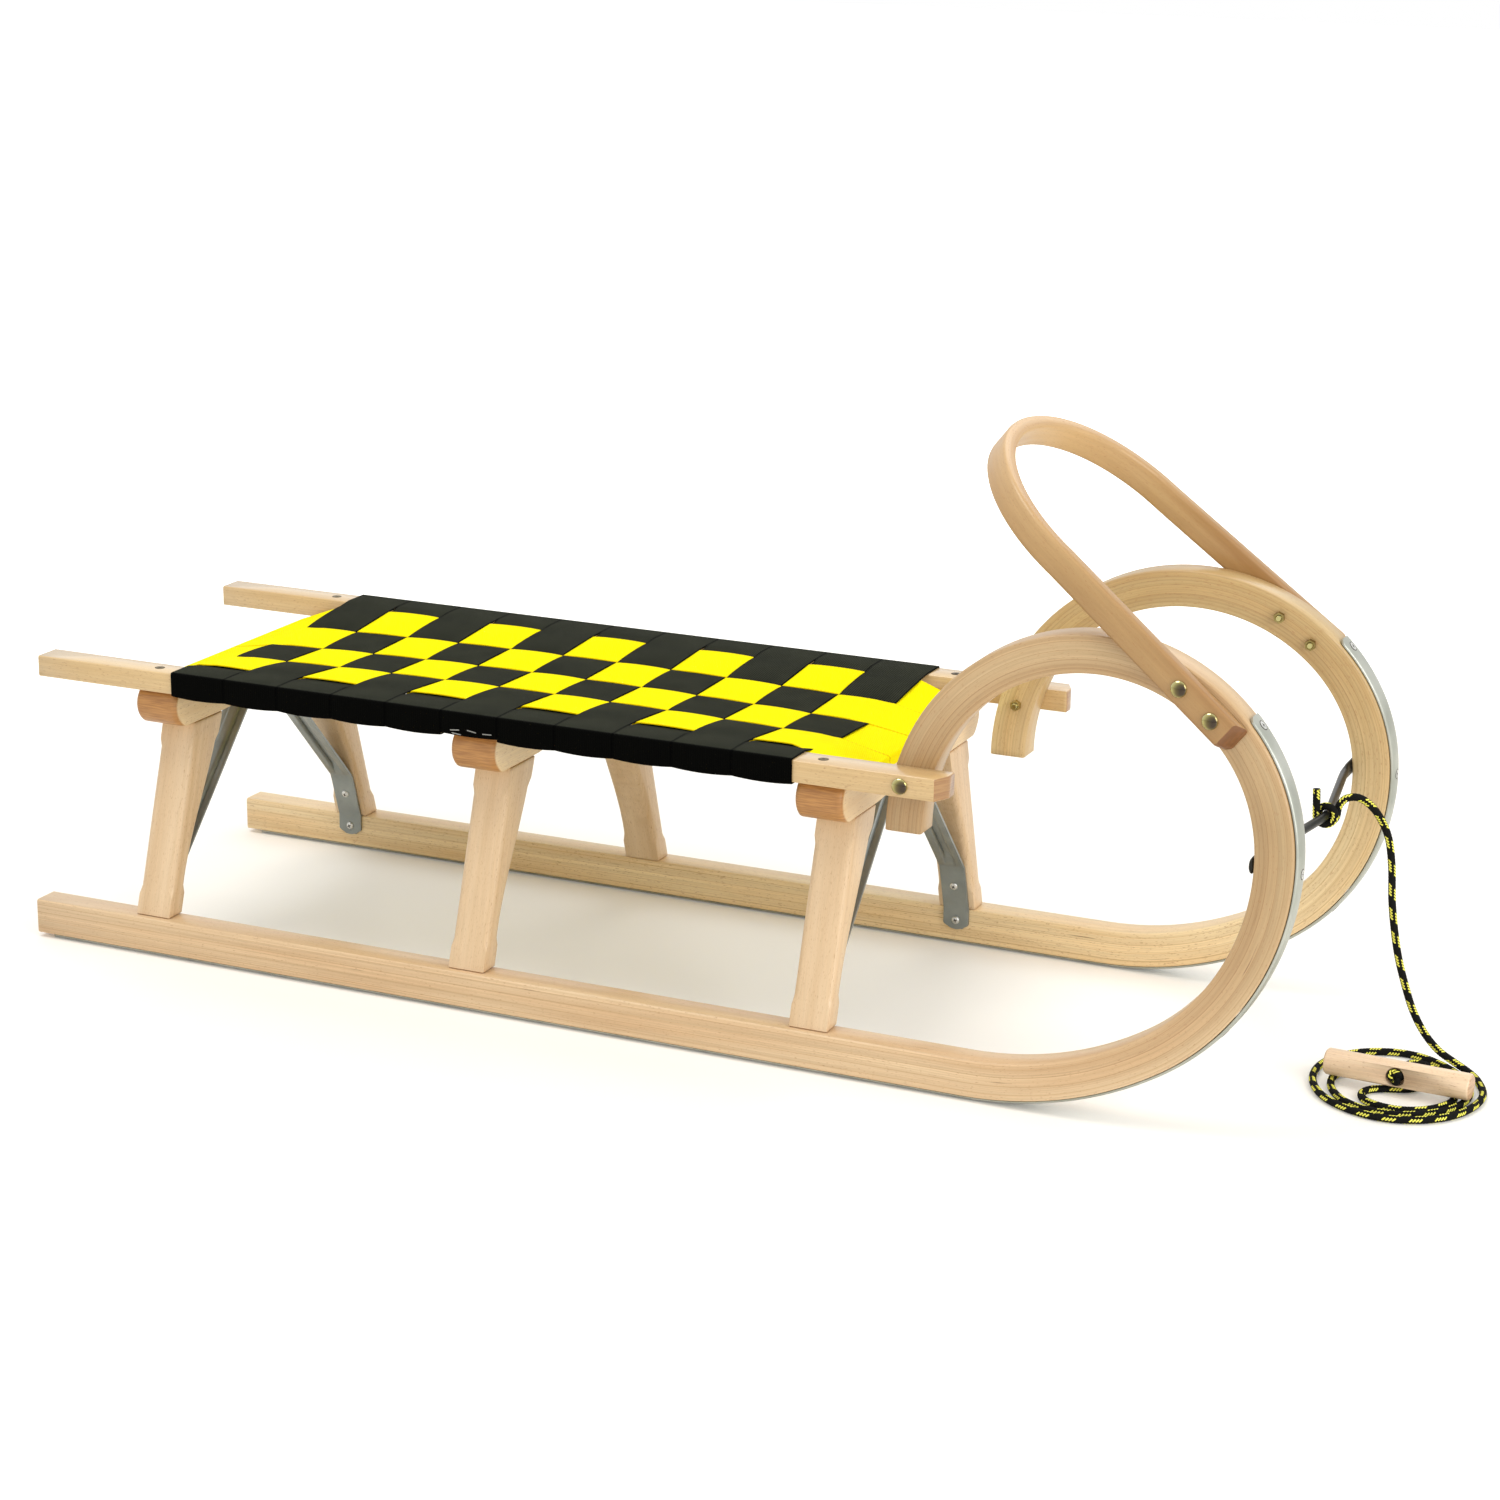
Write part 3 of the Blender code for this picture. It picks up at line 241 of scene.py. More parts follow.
def beech(name, pale, deep, end, layers=(), heights=(), lines=0.93, streaked=False, gloss=0.2):
    """Varnished beech in three screen colours: pale, deep and that of the end grain. layers are
    (place through the thickness in metres, colour change) pairs, and heights are (height above the
    ground, colour change) pairs."""
    material, shader = new_finish(name, Coat_Weight=gloss, Coat_Roughness=0.22)
    place = attribute(material, "grain", "Vector")
    bands = noise(material, place, (4, 60, 60), 3.0)
    colour = ramp(material, bands, ((0.32, tone(*pale)), (0.68, tone(*deep))))
    year_lines = noise(material, place, (2.5, 45, 750), 3.0)
    dark_line = (lines, lines * 0.97, lines * 0.93, 1.0)
    colour = times(material, colour, ramp(material, year_lines, ((0.36, dark_line), (0.58, 1.0))))
    fibres = noise(material, place, (45, 900, 900), 3.0)
    colour = times(material, colour, ramp(material, fibres, ((0.3, 0.92), (0.7, 1.0))))
    if layers:
        depth = one_axis(material, place, 2)
        colour = times(material, colour, spread(material, depth, layers))
    if heights:
        height = one_axis(material, object_place(material), 2)
        colour = times(material, colour, spread(material, height, heights))
    flecks = noise(material, place, (260, 2100, 1500), 1.0)
    fleck_mask = ramp(material, flecks, ((0.64, 0.0), (0.72, 0.5)))
    colour = mixed(material, fleck_mask, colour, tone(*FLECK_BROWN))
    if streaked:
        streaks = noise(material, place, (16, 430, 430), 2.0)
        streak_mask = ramp(material, streaks, ((0.735, 0.0), (0.80, 0.75)))
        colour = mixed(material, streak_mask, colour, tone(*STREAK_BROWN))
    rings = noise(material, place, (0.0, 50, 800), 4.0)
    ring_mask = ramp(material, rings, ((0.38, 0.0), (0.62, 0.55)))
    end_colour = mixed(material, ring_mask, tone(*end), tone(*RING_BROWN))
    colour = mixed(material, attribute(material, "end", "Fac"), colour, end_colour)
    join(material, colour, shader, "Base Color")
    join(material, ramp(material, fibres, ((0.3, 0.34), (0.7, 0.46))), shader, "Roughness")
    bump(material, shader, fibres, 0.00006)
    return material


BOW_HEIGHTS = ((0.30, (0.69, 0.61, 0.51, 1.0)), (0.40, (0.74, 0.69, 0.60, 1.0)), (0.48, 1.0))
BOARD_BEECH = beech("board_beech", (227, 195, 140), (211, 176, 120), (174, 130, 76), gloss=1.0)
BEAM_BEECH = beech("beam_beech", (246, 222, 178), (234, 204, 154), (192, 138, 76))
LEG_BEECH = beech("leg_beech", (233, 205, 167), (221, 189, 147), (188, 136, 84))
BOW_BEECH = beech(
    "bow_beech", (214, 178, 126), (190, 148, 94), (116, 76, 42), heights=BOW_HEIGHTS
)
HANDLE_BEECH = beech("handle_beech", (246, 220, 187), (236, 204, 166), (210, 170, 130))
print("beech finishes: 5")

# %% [markdown]
# The runners are glued from several thin strips before they are bent, so their sides show the
# strips as layers: each a little lighter or darker, with a thin dark glue line between. The two
# runners get two copies of one finish. The left one is paler, which is painted light against the
# shade under the seat. Both grow darker upwards where they curl, which is painted shade.

# %% Layered beech for the runners
RUNNER_HEIGHT = 0.030
LAYER_EDGES = (-0.0150, -0.0100, -0.0032, 0.0040, 0.0105, 0.0150)
LAYER_TONES = (1.0, 0.955, 1.0, 0.94, 0.985)
GLUE_LINE = 0.0004
GLUE_TONE = (0.74, 0.64, 0.52, 1.0)

# The left runner's tones are paler than the right one's: painted light against the shade under the
# seat.
RUNNER_TONES_AND_PAINTED_LIGHT = {
    "right": ((236, 208, 168), (222, 186, 142), (190, 142, 94)),
    "left": ((253, 230, 184), (242, 208, 154), (206, 158, 104)),
}
# Painted shade: both runners darken with height where they curl up.
RUNNER_PAINTED_SHADE = {
    "right": (
        (0.03, 1.0),
        (0.06, (0.90, 0.89, 0.86, 1.0)),
        (0.14, (0.70, 0.66, 0.58, 1.0)),
        (0.24, (0.64, 0.60, 0.50, 1.0)),
        (0.31, (0.80, 0.78, 0.71, 1.0)),
        (0.37, (0.78, 0.75, 0.67, 1.0)),
    ),
    "left": (
        (0.05, 1.0),
        (0.18, (0.78, 0.77, 0.71, 1.0)),
        (0.30, (0.62, 0.57, 0.46, 1.0)),
    ),
}

layer_stops = []
for low, high, grey in zip(LAYER_EDGES, LAYER_EDGES[1:], LAYER_TONES):
    layer = (grey, grey * 0.985, grey * 0.96, 1.0)
    layer_stops.append((low + GLUE_LINE if layer_stops else low, layer))
    layer_stops.append((high - GLUE_LINE, layer))
    layer_stops.append((high, GLUE_TONE))
layer_stops[-2:] = [(LAYER_EDGES[-1], layer)]        # no glue on the outer face
RUNNER_BEECH = {
    side_name: beech(
        "runner_beech_" + side_name,
        *RUNNER_TONES_AND_PAINTED_LIGHT[side_name],
        layers=layer_stops,
        heights=RUNNER_PAINTED_SHADE[side_name],
        lines=0.86,
        streaked=True,
    )
    for side_name in SIDES
}
print("layers in a runner:", len(LAYER_TONES))

# %% [markdown]
# ## Helpers for wooden shapes
# A sawn or bent board is a row of outlines, joined one to the next like the ribs of a boat. The
# outlines are rectangles with rounded corners. The corners can be made by a Bevel modifier too, but
# then the points would lose their place in the grain, so the outlines are rounded from the start.


# %% Lofted boards
board_numbers = itertools.count(1)
BOARD_SHIFT = (0.37, 0.11, 0.0)   # each board shows another part of the grain's noise
END_EASE = 0.0006                 # the small round where a board's end meets its sides
GRAIN_WINDOW = 5                  # sections on either side from which the grain's line is taken


def rounded_outline(low_a, high_a, low_b, high_b, radius, steps=2):
    """A rectangle with rounded corners, as points (a, b) going round."""
    points = []
    corners = ((high_a, high_b, 0), (low_a, high_b, 90), (low_a, low_b, 180), (high_a, low_b, 270))
    middle = Vector(((low_a + high_a) / 2, (low_b + high_b) / 2))
    for corner_a, corner_b, start in corners:
        centre_a = corner_a - math.copysign(radius, corner_a - middle.x)
        centre_b = corner_b - math.copysign(radius, corner_b - middle.y)
        for k in range(steps + 1):
            turn = math.radians(start + 90 * k / steps)
            points.append((centre_a + radius * math.cos(turn), centre_b + radius * math.sin(turn)))
    return points


def show(piece, finish, nodes):
    """Give a piece its finish, let it stand for its solids and ride on the sled."""
    piece.data.materials.clear()
    piece.data.materials.append(finish)
    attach(piece, "root")
    if nodes:
        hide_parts(*nodes)
    return piece


def new_mesh(name, points, faces):
    """A mesh from points and from faces that count them."""
    mesh = bpy.data.meshes.new(name)
    mesh.from_pydata(points, [], faces)
    return mesh


def built_mesh(name, work):
    """A mesh from a bmesh, Blender's workbench for single points and faces."""
    mesh = bpy.data.meshes.new(name)
    work.to_mesh(mesh)
    work.free()
    return mesh


def shade(mesh, degrees):
    """Smooth shading, but edges steeper than this angle stay sharp."""
    mesh.shade_smooth()
    mesh.set_sharp_from_angle(angle=math.radians(degrees))


def paint(mesh, name, domain, values):
    """Write a number on each point or corner, which a material can read by its name."""
    mesh.attributes.new(name, "FLOAT", domain).data.foreach_set("value", values)


def paint_grain(mesh, places):
    """Write each point's place in the wood."""
    mesh.attributes.new("grain", "FLOAT_VECTOR", "POINT").data.foreach_set("vector", places)


def share_between(low, high, value):
    """0 at low and below, 1 at high and above."""
    return min(max((value - low) / (high - low), 0.0), 1.0)


def ring_faces(ring_count, count):
    """The faces that join each ring of points to the next one."""
    faces = []
    for here in range(0, (ring_count - 1) * count, count):
        there = here + count
        for c in range(count):
            after = (c + 1) % count
            faces.append((here + c, here + after, there + after, there + c))
    return faces


def loft(name, sections, finish, slot, nodes, grain=None, reach=(0.55, 0.85)):
    """A closed solid through sections. Each is a ring of (point, place in the wood) pairs. Where a
    face cuts across the grain, it gets end grain, more and more between the two limits of reach."""
    count = len(sections[0])
    points = [point for section in sections for point, _ in section]
    faces = ring_faces(len(sections), count)
    faces += [tuple(range(count)), tuple(range(len(points) - count, len(points)))]
    mesh = new_mesh(name, points, faces)
    work = bmesh.new()
    work.from_mesh(mesh)
    bmesh.ops.recalc_face_normals(work, faces=work.faces)
    work.to_mesh(mesh)
    work.free()
    mark_ends(mesh, points, count, grain, reach)
    shift = Vector(BOARD_SHIFT) * next(board_numbers)
    places = [tuple(Vector(place) + shift) for section in sections for _, place in section]
    paint_grain(mesh, np.array(places, np.float32).ravel())
    shade(mesh, 50)
    return show(add_object(name, mesh), finish, nodes)


def mark_ends(mesh, points, count, grain, reach):
    """1 where a face cuts across the grain, 0 where it runs along it."""
    rings = [points[first : first + count] for first in range(0, len(points), count)]
    centres = [sum((Vector(point) for point in ring), Vector()) / count for ring in rings]
    along = []
    for r in range(len(rings)):
        before = centres[max(r - GRAIN_WINDOW, 0)]
        after = centres[min(r + GRAIN_WINDOW, len(rings) - 1)]
        along.append(grain or (after - before).normalized())
    cut = np.zeros(len(mesh.loops), np.float32)
    for face in mesh.polygons:
        for corner in face.loop_indices:
            facing = abs(face.normal.dot(along[mesh.loops[corner].vertex_index // count]))
            cut[corner] = share_between(*reach, facing)
    paint(mesh, "end", "CORNER", cut)


def eased(stations):
    """Doubles the first and the last station, so that the ends get a small round."""
    first, last = stations[0], stations[-1]
    step = END_EASE if last > first else -END_EASE
    return (
        [(first, END_EASE), (first + step, 0.0)]
        + [(station, 0.0) for station in stations[1:-1]]
        + [(last - step, 0.0), (last, END_EASE)]
    )


def ease(t):
    """0 to 1 with a gentle start and end."""
    t = share_between(0, 1, t)
    return t * t * (3 - 2 * t)


print("a rounded outline has", len(rounded_outline(0, 1, 0, 1, 0.1)), "points")

# %% [markdown]
# ## The rope
# A black rope with yellow flecks is hitched to the middle of the tie rod, falls to the ground, lies
# there in two and a half loops and ends in its handle's hole. Its middle line is one smooth curve
# through points read off the picture, the same as in the solid model. A plain tube would look
# like a wire. A real rope of this kind is braided from sixteen yarns, eight each way round, and
# each yarn passes over two and under two. So the tube's skin is lifted where a yarn lies on top.

# %% The rope's line
ROPE_RADIUS = 0.003
ROPE_FLOOR = ROPE_RADIUS + 0.0001
GAP = 0.0003                      # air between two neighbours, the same as in the solids
ROD_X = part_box("tie_rod")[1].x - 0.0035
ROD_Z = 0.211
ROD_RADIUS = 0.0035
KNOT_TURNS = 1.5
KNOT_PITCH = 0.0068
HANDLE_LENGTH = 0.115
HANDLE_RADIUS = 0.0105
HANDLE_X = 0.605
HANDLE_Y = -0.0177
HANDLE_TURN = math.radians(-2.93)
HANDLE_Z = 2 * ROPE_RADIUS + (ROPE_FLOOR - ROPE_RADIUS) + GAP + HANDLE_RADIUS
POCKET_FLOOR = 0.001
DROP_ROUTE = [
    (0.5450, 0.0078, 0.2240), (0.5535, 0.0100, 0.2248), (0.5620, 0.0135, 0.2190),
    (0.5695, 0.0164, 0.2090), (0.5765, 0.0190, 0.1930), (0.5802, 0.0205, 0.1700),
    (0.5820, 0.0212, 0.1430), (0.5853, 0.0225, 0.1180), (0.5895, 0.0240, 0.0960),
    (0.5955, 0.0263, 0.0740), (0.6025, 0.0290, 0.0530), (0.6115, 0.0325, 0.0350),
    (0.6225, 0.0370, 0.0205), (0.6345, 0.0415, 0.0110), (0.6455, 0.0410, 0.0055),
]
GROUND_ROUTE = [
    (0.6540, 0.0345), (0.6590, 0.0250), (0.6645, 0.0120), (0.6675, -0.0020), (0.6670, -0.0170),
    (0.6630, -0.0340), (0.6550, -0.0500), (0.6420, -0.0640), (0.6260, -0.0730), (0.6090, -0.0770),
    (0.5910, -0.0750), (0.5730, -0.0675), (0.5580, -0.0560), (0.5465, -0.0400), (0.5390, -0.0210),
    (0.5365, -0.0020), (0.5390, 0.0170), (0.5470, 0.0350), (0.5590, 0.0490), (0.5740, 0.0580),
    (0.5900, 0.0620), (0.6060, 0.0600), (0.6200, 0.0530), (0.6330, 0.0430), (0.6440, 0.0310),
    (0.6520, 0.0170), (0.6570, 0.0020), (0.6580, -0.0130), (0.6550, -0.0280), (0.6480, -0.0420),
    (0.6370, -0.0540), (0.6220, -0.0640), (0.6060, -0.0675), (0.5900, -0.0655), (0.5740, -0.0570),
    (0.5620, -0.0430), (0.5550, -0.0270), (0.5530, -0.0110), (0.5580, 0.0030), (0.5690, 0.0130),
    (0.5840, 0.0185), (0.5990, 0.0185), (0.6120, 0.0120), (0.6180, 0.0010), (0.6140, -0.0095),
    (0.6040, -0.0150), (0.5920, -0.0200), (0.5835, -0.0280), (0.5820, -0.0390), (0.5890, -0.0495),
    (0.6020, -0.0550), (0.6170, -0.0555), (0.6320, -0.0485), (0.6430, -0.0360), (0.6485, -0.0210),
]
RISE_ROUTE = [
    (0.6470, -0.0070, 0.0036), (0.6400, 0.0040, 0.0070), (0.6305, 0.0105, 0.0115),
    (0.6190, 0.0125, 0.0155), (0.6098, 0.0090, HANDLE_Z), (0.6062, 0.0005, HANDLE_Z),
    (0.6056, -0.0080, HANDLE_Z),
]


def smooth_route(points, steps):
    """A smooth line through given points."""
    route = [Vector(point) for point in points]
    padded = [2 * route[0] - route[1]] + route + [2 * route[-1] - route[-2]]
    line = []
    for before, start, end, after in zip(padded, padded[1:], padded[2:], padded[3:]):
        leaving = (end - before) / 2
        arriving = (after - start) / 2
        for k in range(steps):
            t = k / steps
            bend = (3 * (end - start) - 2 * leaving - arriving) * t**2
            line.append(start + leaving * t + bend + (leaving + arriving - 2 * (end - start)) * t**3)
    line.append(route[-1])
    return line


def handle_place(along, front, up):
    """A point given along the handle, towards its front and up from its axis."""
    x = HANDLE_X + along * math.cos(HANDLE_TURN) + front * math.sin(HANDLE_TURN)
    y = HANDLE_Y + along * math.sin(HANDLE_TURN) - front * math.cos(HANDLE_TURN)
    return Vector((x, y, HANDLE_Z + up))


def line_length(line):
    """Length along a row of points."""
    return sum((b - a).length for a, b in zip(line, line[1:]))


knot_radius = ROD_RADIUS + ROPE_RADIUS + GAP
knot_width = KNOT_TURNS * KNOT_PITCH
knot_line = [
    Vector((ROD_X - knot_radius - 0.0010, -knot_width / 2, ROD_Z + 0.021)),
    Vector((ROD_X - knot_radius - 0.0005, -knot_width / 2, ROD_Z + 0.012)),
]
knot_steps = round(KNOT_TURNS * 16)
for k in range(knot_steps + 1):
    turn = math.pi + 2 * math.pi * KNOT_TURNS * k / knot_steps
    y = -knot_width / 2 + knot_width * k / knot_steps
    round_rod = (knot_radius * math.cos(turn), knot_radius * math.sin(turn))
    knot_line.append(Vector((ROD_X + round_rod[0], y, ROD_Z + round_rod[1])))
leave = [
    knot_line[-1] + Vector((0.0005, 0.0004, 0.0050)),
    knot_line[-1] + Vector((0.0022, 0.0012, 0.0090)),
]
ground = [(x, y, ROPE_FLOOR) for x, y in GROUND_ROUTE]
last_point = handle_place(0, POCKET_FLOOR - GAP, 0)
free_points = [knot_line[-1]] + leave + DROP_ROUTE + ground + RISE_ROUTE + [last_point]
free_line = smooth_route(free_points, 6)
knot_line = smooth_route(knot_line, 3)
knot_length = line_length(knot_line)

# %% [markdown]
# The tube is built ring by ring at even steps. Two numbers go with every corner of its faces: how
# far round the rope it lies and how far along. The same two numbers drive both the raised yarns
# and, in the material, which yarns are yellow: four neighbours out of the eight that run one way.

# %% Braided tube
YARNS = 8                         # yarns that run one way round
BRAID_TURN = 0.0195               # length in which a yarn goes once round
YARN_LIFT = 0.00032
ROPE_STEP = 0.0005
ROPE_SIDES = 32


def even_steps(line, step):
    """The same line with points at even distances."""
    points = np.array([tuple(point) for point in line])
    lengths = np.concatenate(([0], np.cumsum(np.linalg.norm(np.diff(points, axis=0), axis=1))))
    marks = np.linspace(0, lengths[-1], max(round(lengths[-1] / step), 2) + 1)
    return marks, np.stack([np.interp(marks, lengths, points[:, axis]) for axis in range(3)], 1)


def carried_frames(points):
    """Two directions square to the line at each point, carried along without twisting."""
    ahead = np.gradient(points, axis=0)
    ahead /= np.linalg.norm(ahead, axis=1)[:, None]
    side = np.cross(ahead[0], (0.0, 0.3, 1.0))
    sides = []
    for direction in ahead:
        side = side - direction * side.dot(direction)
        side = side / np.linalg.norm(side)
        sides.append(side)
    sides = np.array(sides)
    return sides, np.cross(ahead, sides)


def braid_height(turn, along):
    """Height of the skin, 0 to 1: of the yarn that is on top, two over and two under."""
    one_way = YARNS * (turn + along / BRAID_TURN)
    other_way = YARNS * (turn - along / BRAID_TURN)
    on_top = (np.floor(one_way) + np.floor(other_way)) % 4 < 2
    across = np.where(on_top, one_way, other_way) % 1.0
    return 1 - (2 * across - 1) ** 2


def braided_tube(name, line, radius, start, nodes, finish):
    """A rope along a line, which begins at the length start of the whole rope."""
    marks, centres = even_steps(line, ROPE_STEP)
    sides, ups = carried_frames(centres)
    turns = np.arange(ROPE_SIDES) / ROPE_SIDES
    along, turn = np.meshgrid(marks + start, turns, indexing="ij")
    skin = radius - YARN_LIFT * (1 - braid_height(turn, along))
    angle = 2 * np.pi * turn
    points = (
        centres[:, None]
        + sides[:, None] * (skin * np.cos(angle))[:, :, None]
        + ups[:, None] * (skin * np.sin(angle))[:, :, None]
    ).reshape(-1, 3)
    faces = ring_faces(len(marks), ROPE_SIDES)
    corners = []
    for low, high in zip(marks + start, marks[1:] + start):
        for c in range(ROPE_SIDES):
            left, right = c / ROPE_SIDES, (c + 1) / ROPE_SIDES
            corners += [left, low, right, low, right, high, left, high]
    ends = (range(ROPE_SIDES - 1, -1, -1), range(len(points) - ROPE_SIDES, len(points)))
    for ring, mark in zip(ends, (start, marks[-1] + start)):
        faces.append(tuple(ring))
        corners += [0.0, mark] * ROPE_SIDES
    mesh = new_mesh(name, points.tolist(), faces)
    mesh.uv_layers.new(name="braid").data.foreach_set("uv", corners)
    shade(mesh, 60)
    return show(add_object(name, mesh), finish, nodes)


# %% Rope finish
def rope_finish():
    """Black yarns and, one way round, four yellow ones side by side."""
    material, shader = new_finish("rope_yarn", Roughness=0.75, Specular_IOR_Level=0.12)
    braid = add_node(material, "ShaderNodeUVMap", uv_map="braid").outputs[0]
    parts = add_node(material, "ShaderNodeSeparateXYZ", ((0, braid),))
    turn = calculate(material, "MULTIPLY", parts.outputs[0], YARNS)
    along = calculate(material, "MULTIPLY", parts.outputs[1], YARNS / BRAID_TURN)
    one_way = calculate(material, "ADD", turn, along)
    other_way = calculate(material, "SUBTRACT", turn, along)
    yarn = calculate(material, "FLOOR", one_way)
    crossing = calculate(material, "ADD", yarn, calculate(material, "FLOOR", other_way))
    on_top = calculate(
        material, "LESS_THAN", calculate(material, "FLOORED_MODULO", crossing, 4.0), 1.5
    )
    yellow = calculate(
        material, "LESS_THAN", calculate(material, "FLOORED_MODULO", yarn, YARNS), 3.5
    )
    across = calculate(material, "FRACT", one_way)
    from_middle = calculate(material, "ABSOLUTE", calculate(material, "SUBTRACT", across, 0.5))
    yarn_core = calculate(material, "LESS_THAN", from_middle, 0.36)
    yellow_on_top = calculate(material, "MULTIPLY", on_top, yellow)
    shown = calculate(material, "MULTIPLY", yellow_on_top, yarn_core)
    fuzz = noise(material, braid, (60, 5200, 1), 2.0)
    black = ramp(material, fuzz, ((0.3, tone(6, 6, 5)), (0.7, tone(24, 24, 21))))
    bright = ramp(material, fuzz, ((0.3, tone(232, 226, 50)), (0.7, tone(255, 250, 128))))
    join(material, mixed(material, shown, black, bright), shader, "Base Color")
    bump(material, shader, fuzz, 0.0001)
    return material


ROPE_YARN = rope_finish()
rope_knot = braided_tube(
    "rope_hitch", knot_line, ROPE_RADIUS, 0.0, ["rope_knot"], ROPE_YARN
)
rope_free = braided_tube(
    "rope_free", free_line, ROPE_RADIUS, knot_length, ["rope_drop", "rope_coil"], ROPE_YARN
)
print("rope faces:", len(rope_free.data.polygons))

# %% [markdown]
# The sled does not move, so the handle and the stopper knot simply lie at the rope's end. The
# handle is a turned dowel: a profile spun round an axis. Its bore and the wide pocket in front are
# cut with round cutters, and the cutters are removed once the cut is applied.


# %% Turned and drilled shapes
def turned(name, profile, steps, place):
    """A mesh from a profile of (radius, height) points spun round its own Z."""
    work = bmesh.new()
    ring = [work.verts.new((radius, 0, height)) for radius, height in profile]
    edges = [work.edges.new(pair) for pair in zip(ring, ring[1:])]
    bmesh.ops.spin(
        work,
        geom=ring + edges,
        axis=(0, 0, 1),
        cent=(0, 0, 0),
        angle=2 * math.pi,
        steps=steps,
        use_merge=True,
    )
    bmesh.ops.remove_doubles(work, verts=work.verts, dist=1e-6)
    bmesh.ops.recalc_face_normals(work, faces=work.faces)
    mesh = built_mesh(name, work)
    mesh.transform(place)
    shade(mesh, 40)
    return mesh


def facing(centre, direction):
    """A placement whose Z points in a direction."""
    turn = Vector((0, 0, 1)).rotation_difference(Vector(direction)).to_matrix().to_4x4()
    return Matrix.Translation(centre) @ turn


def cut(piece, cutter_mesh):
    """Take a shape out of a piece and forget the cutter."""
    cutter = add_object("cutter", cutter_mesh)
    modifier = piece.modifiers.new("cut", "BOOLEAN")
    modifier.object = cutter
    modifier.solver = "EXACT"
    bpy.context.view_layer.update()
    result = bpy.data.meshes.new_from_object(
        piece.evaluated_get(bpy.context.evaluated_depsgraph_get())
    )
    piece.modifiers.remove(modifier)
    piece.data = result
    bpy.data.objects.remove(cutter)


def rod_profile(radius, half_length):
    """The profile of a plain round rod."""
    return [(0, -half_length), (radius, -half_length), (radius, half_length), (0, half_length)]


STRAIGHT_END_LIMITS = (0.6, 0.85)


def mark_straight_grain(mesh, centre, along, across):
    """Grain places and end grain for a straight piece, after all cuts."""
    depth = along.cross(across)
    shift = BOARD_SHIFT[0] * next(board_numbers)
    places = []
    ends = []
    for vertex in mesh.vertices:
        local = vertex.co - centre
        places += [local.dot(along) + shift, local.dot(across), local.dot(depth)]
        ends.append(share_between(*STRAIGHT_END_LIMITS, abs(vertex.normal.dot(along))))
    paint_grain(mesh, places)
    paint(mesh, "end", "POINT", ends)


# %% Pull handle
HANDLE_CHAMFER = 0.0015
HANDLE_EDGE = 0.0003              # the chamfer's edge is broken by this much
HANDLE_BLEND = 0.0004
BORE_RADIUS = 0.0037
POCKET_RADIUS = 0.0076

handle_centre = handle_place(0, 0, 0)
handle_along = (handle_place(1, 0, 0) - handle_centre).normalized()
handle_front = (handle_place(0, 1, 0) - handle_centre).normalized()
half_handle = HANDLE_LENGTH / 2
chamfer_start = half_handle - HANDLE_CHAMFER
shoulder = [
    (HANDLE_RADIUS - HANDLE_CHAMFER, half_handle),
    (HANDLE_RADIUS - HANDLE_EDGE, chamfer_start + HANDLE_EDGE),
    (HANDLE_RADIUS, chamfer_start - HANDLE_BLEND),
]
other_shoulder = [(radius, -height) for radius, height in shoulder]
handle_profile = [(0, -half_handle), *other_shoulder, *reversed(shoulder), (0, half_handle)]
handle_mesh = turned("pull_handle_wood", handle_profile, 72, facing(handle_centre, handle_along))
handle = add_object("pull_handle_wood", handle_mesh)
bore = rod_profile(BORE_RADIUS, 2 * HANDLE_RADIUS)
cut(handle, turned("bore", bore, 32, facing(handle_centre, handle_front)))
pocket_centre = handle_centre + handle_front * (POCKET_FLOOR + HANDLE_RADIUS)
pocket = rod_profile(POCKET_RADIUS, HANDLE_RADIUS)
cut(handle, turned("pocket", pocket, 40, facing(pocket_centre, handle_front)))
mark_straight_grain(handle.data, handle_centre, handle_along, handle_front)
show(handle, HANDLE_BEECH, ["pull_handle"])
print("handle faces:", len(handle.data.polygons))

# %% Stopper knot
STOPPER_SPREAD = 0.00145
STOPPER_YARN = 0.0028
STOPPER_OUT = 0.0074              # how far the knot lies in front of the handle's axis
STOPPER_STEPS = 97
STOPPER_SHARE = 0.97              # the knot's two ends stop short of each other

stopper_centre = handle_centre + handle_front * STOPPER_OUT
stopper_line = []
for k in range(STOPPER_STEPS):
    t = 2 * math.pi * k / STOPPER_STEPS * STOPPER_SHARE
    along = (math.sin(t) + 2 * math.sin(2 * t)) * STOPPER_SPREAD
    up = (math.cos(t) - 2 * math.cos(2 * t)) * STOPPER_SPREAD
    out = -math.sin(3 * t) * STOPPER_SPREAD * 0.9
    stopper_line.append(
        stopper_centre + handle_along * along + Vector((0, 0, up)) + handle_front * out
    )
stopper = braided_tube(
    "rope_stopper_knot", stopper_line, STOPPER_YARN, 0.004, ["rope_stopper"], ROPE_YARN
)
print("stopper knot", round(line_length(stopper_line) * 1000), "mm of rope")

# %% [markdown]
# ## Bent runners
# Each runner is one strip, straight on the ground and then curled up and back until it meets its
# seat rail. The side view is a row of arcs that join smoothly. While it curls, the horn also leans
# inwards, because the rails stand closer together than the runners.

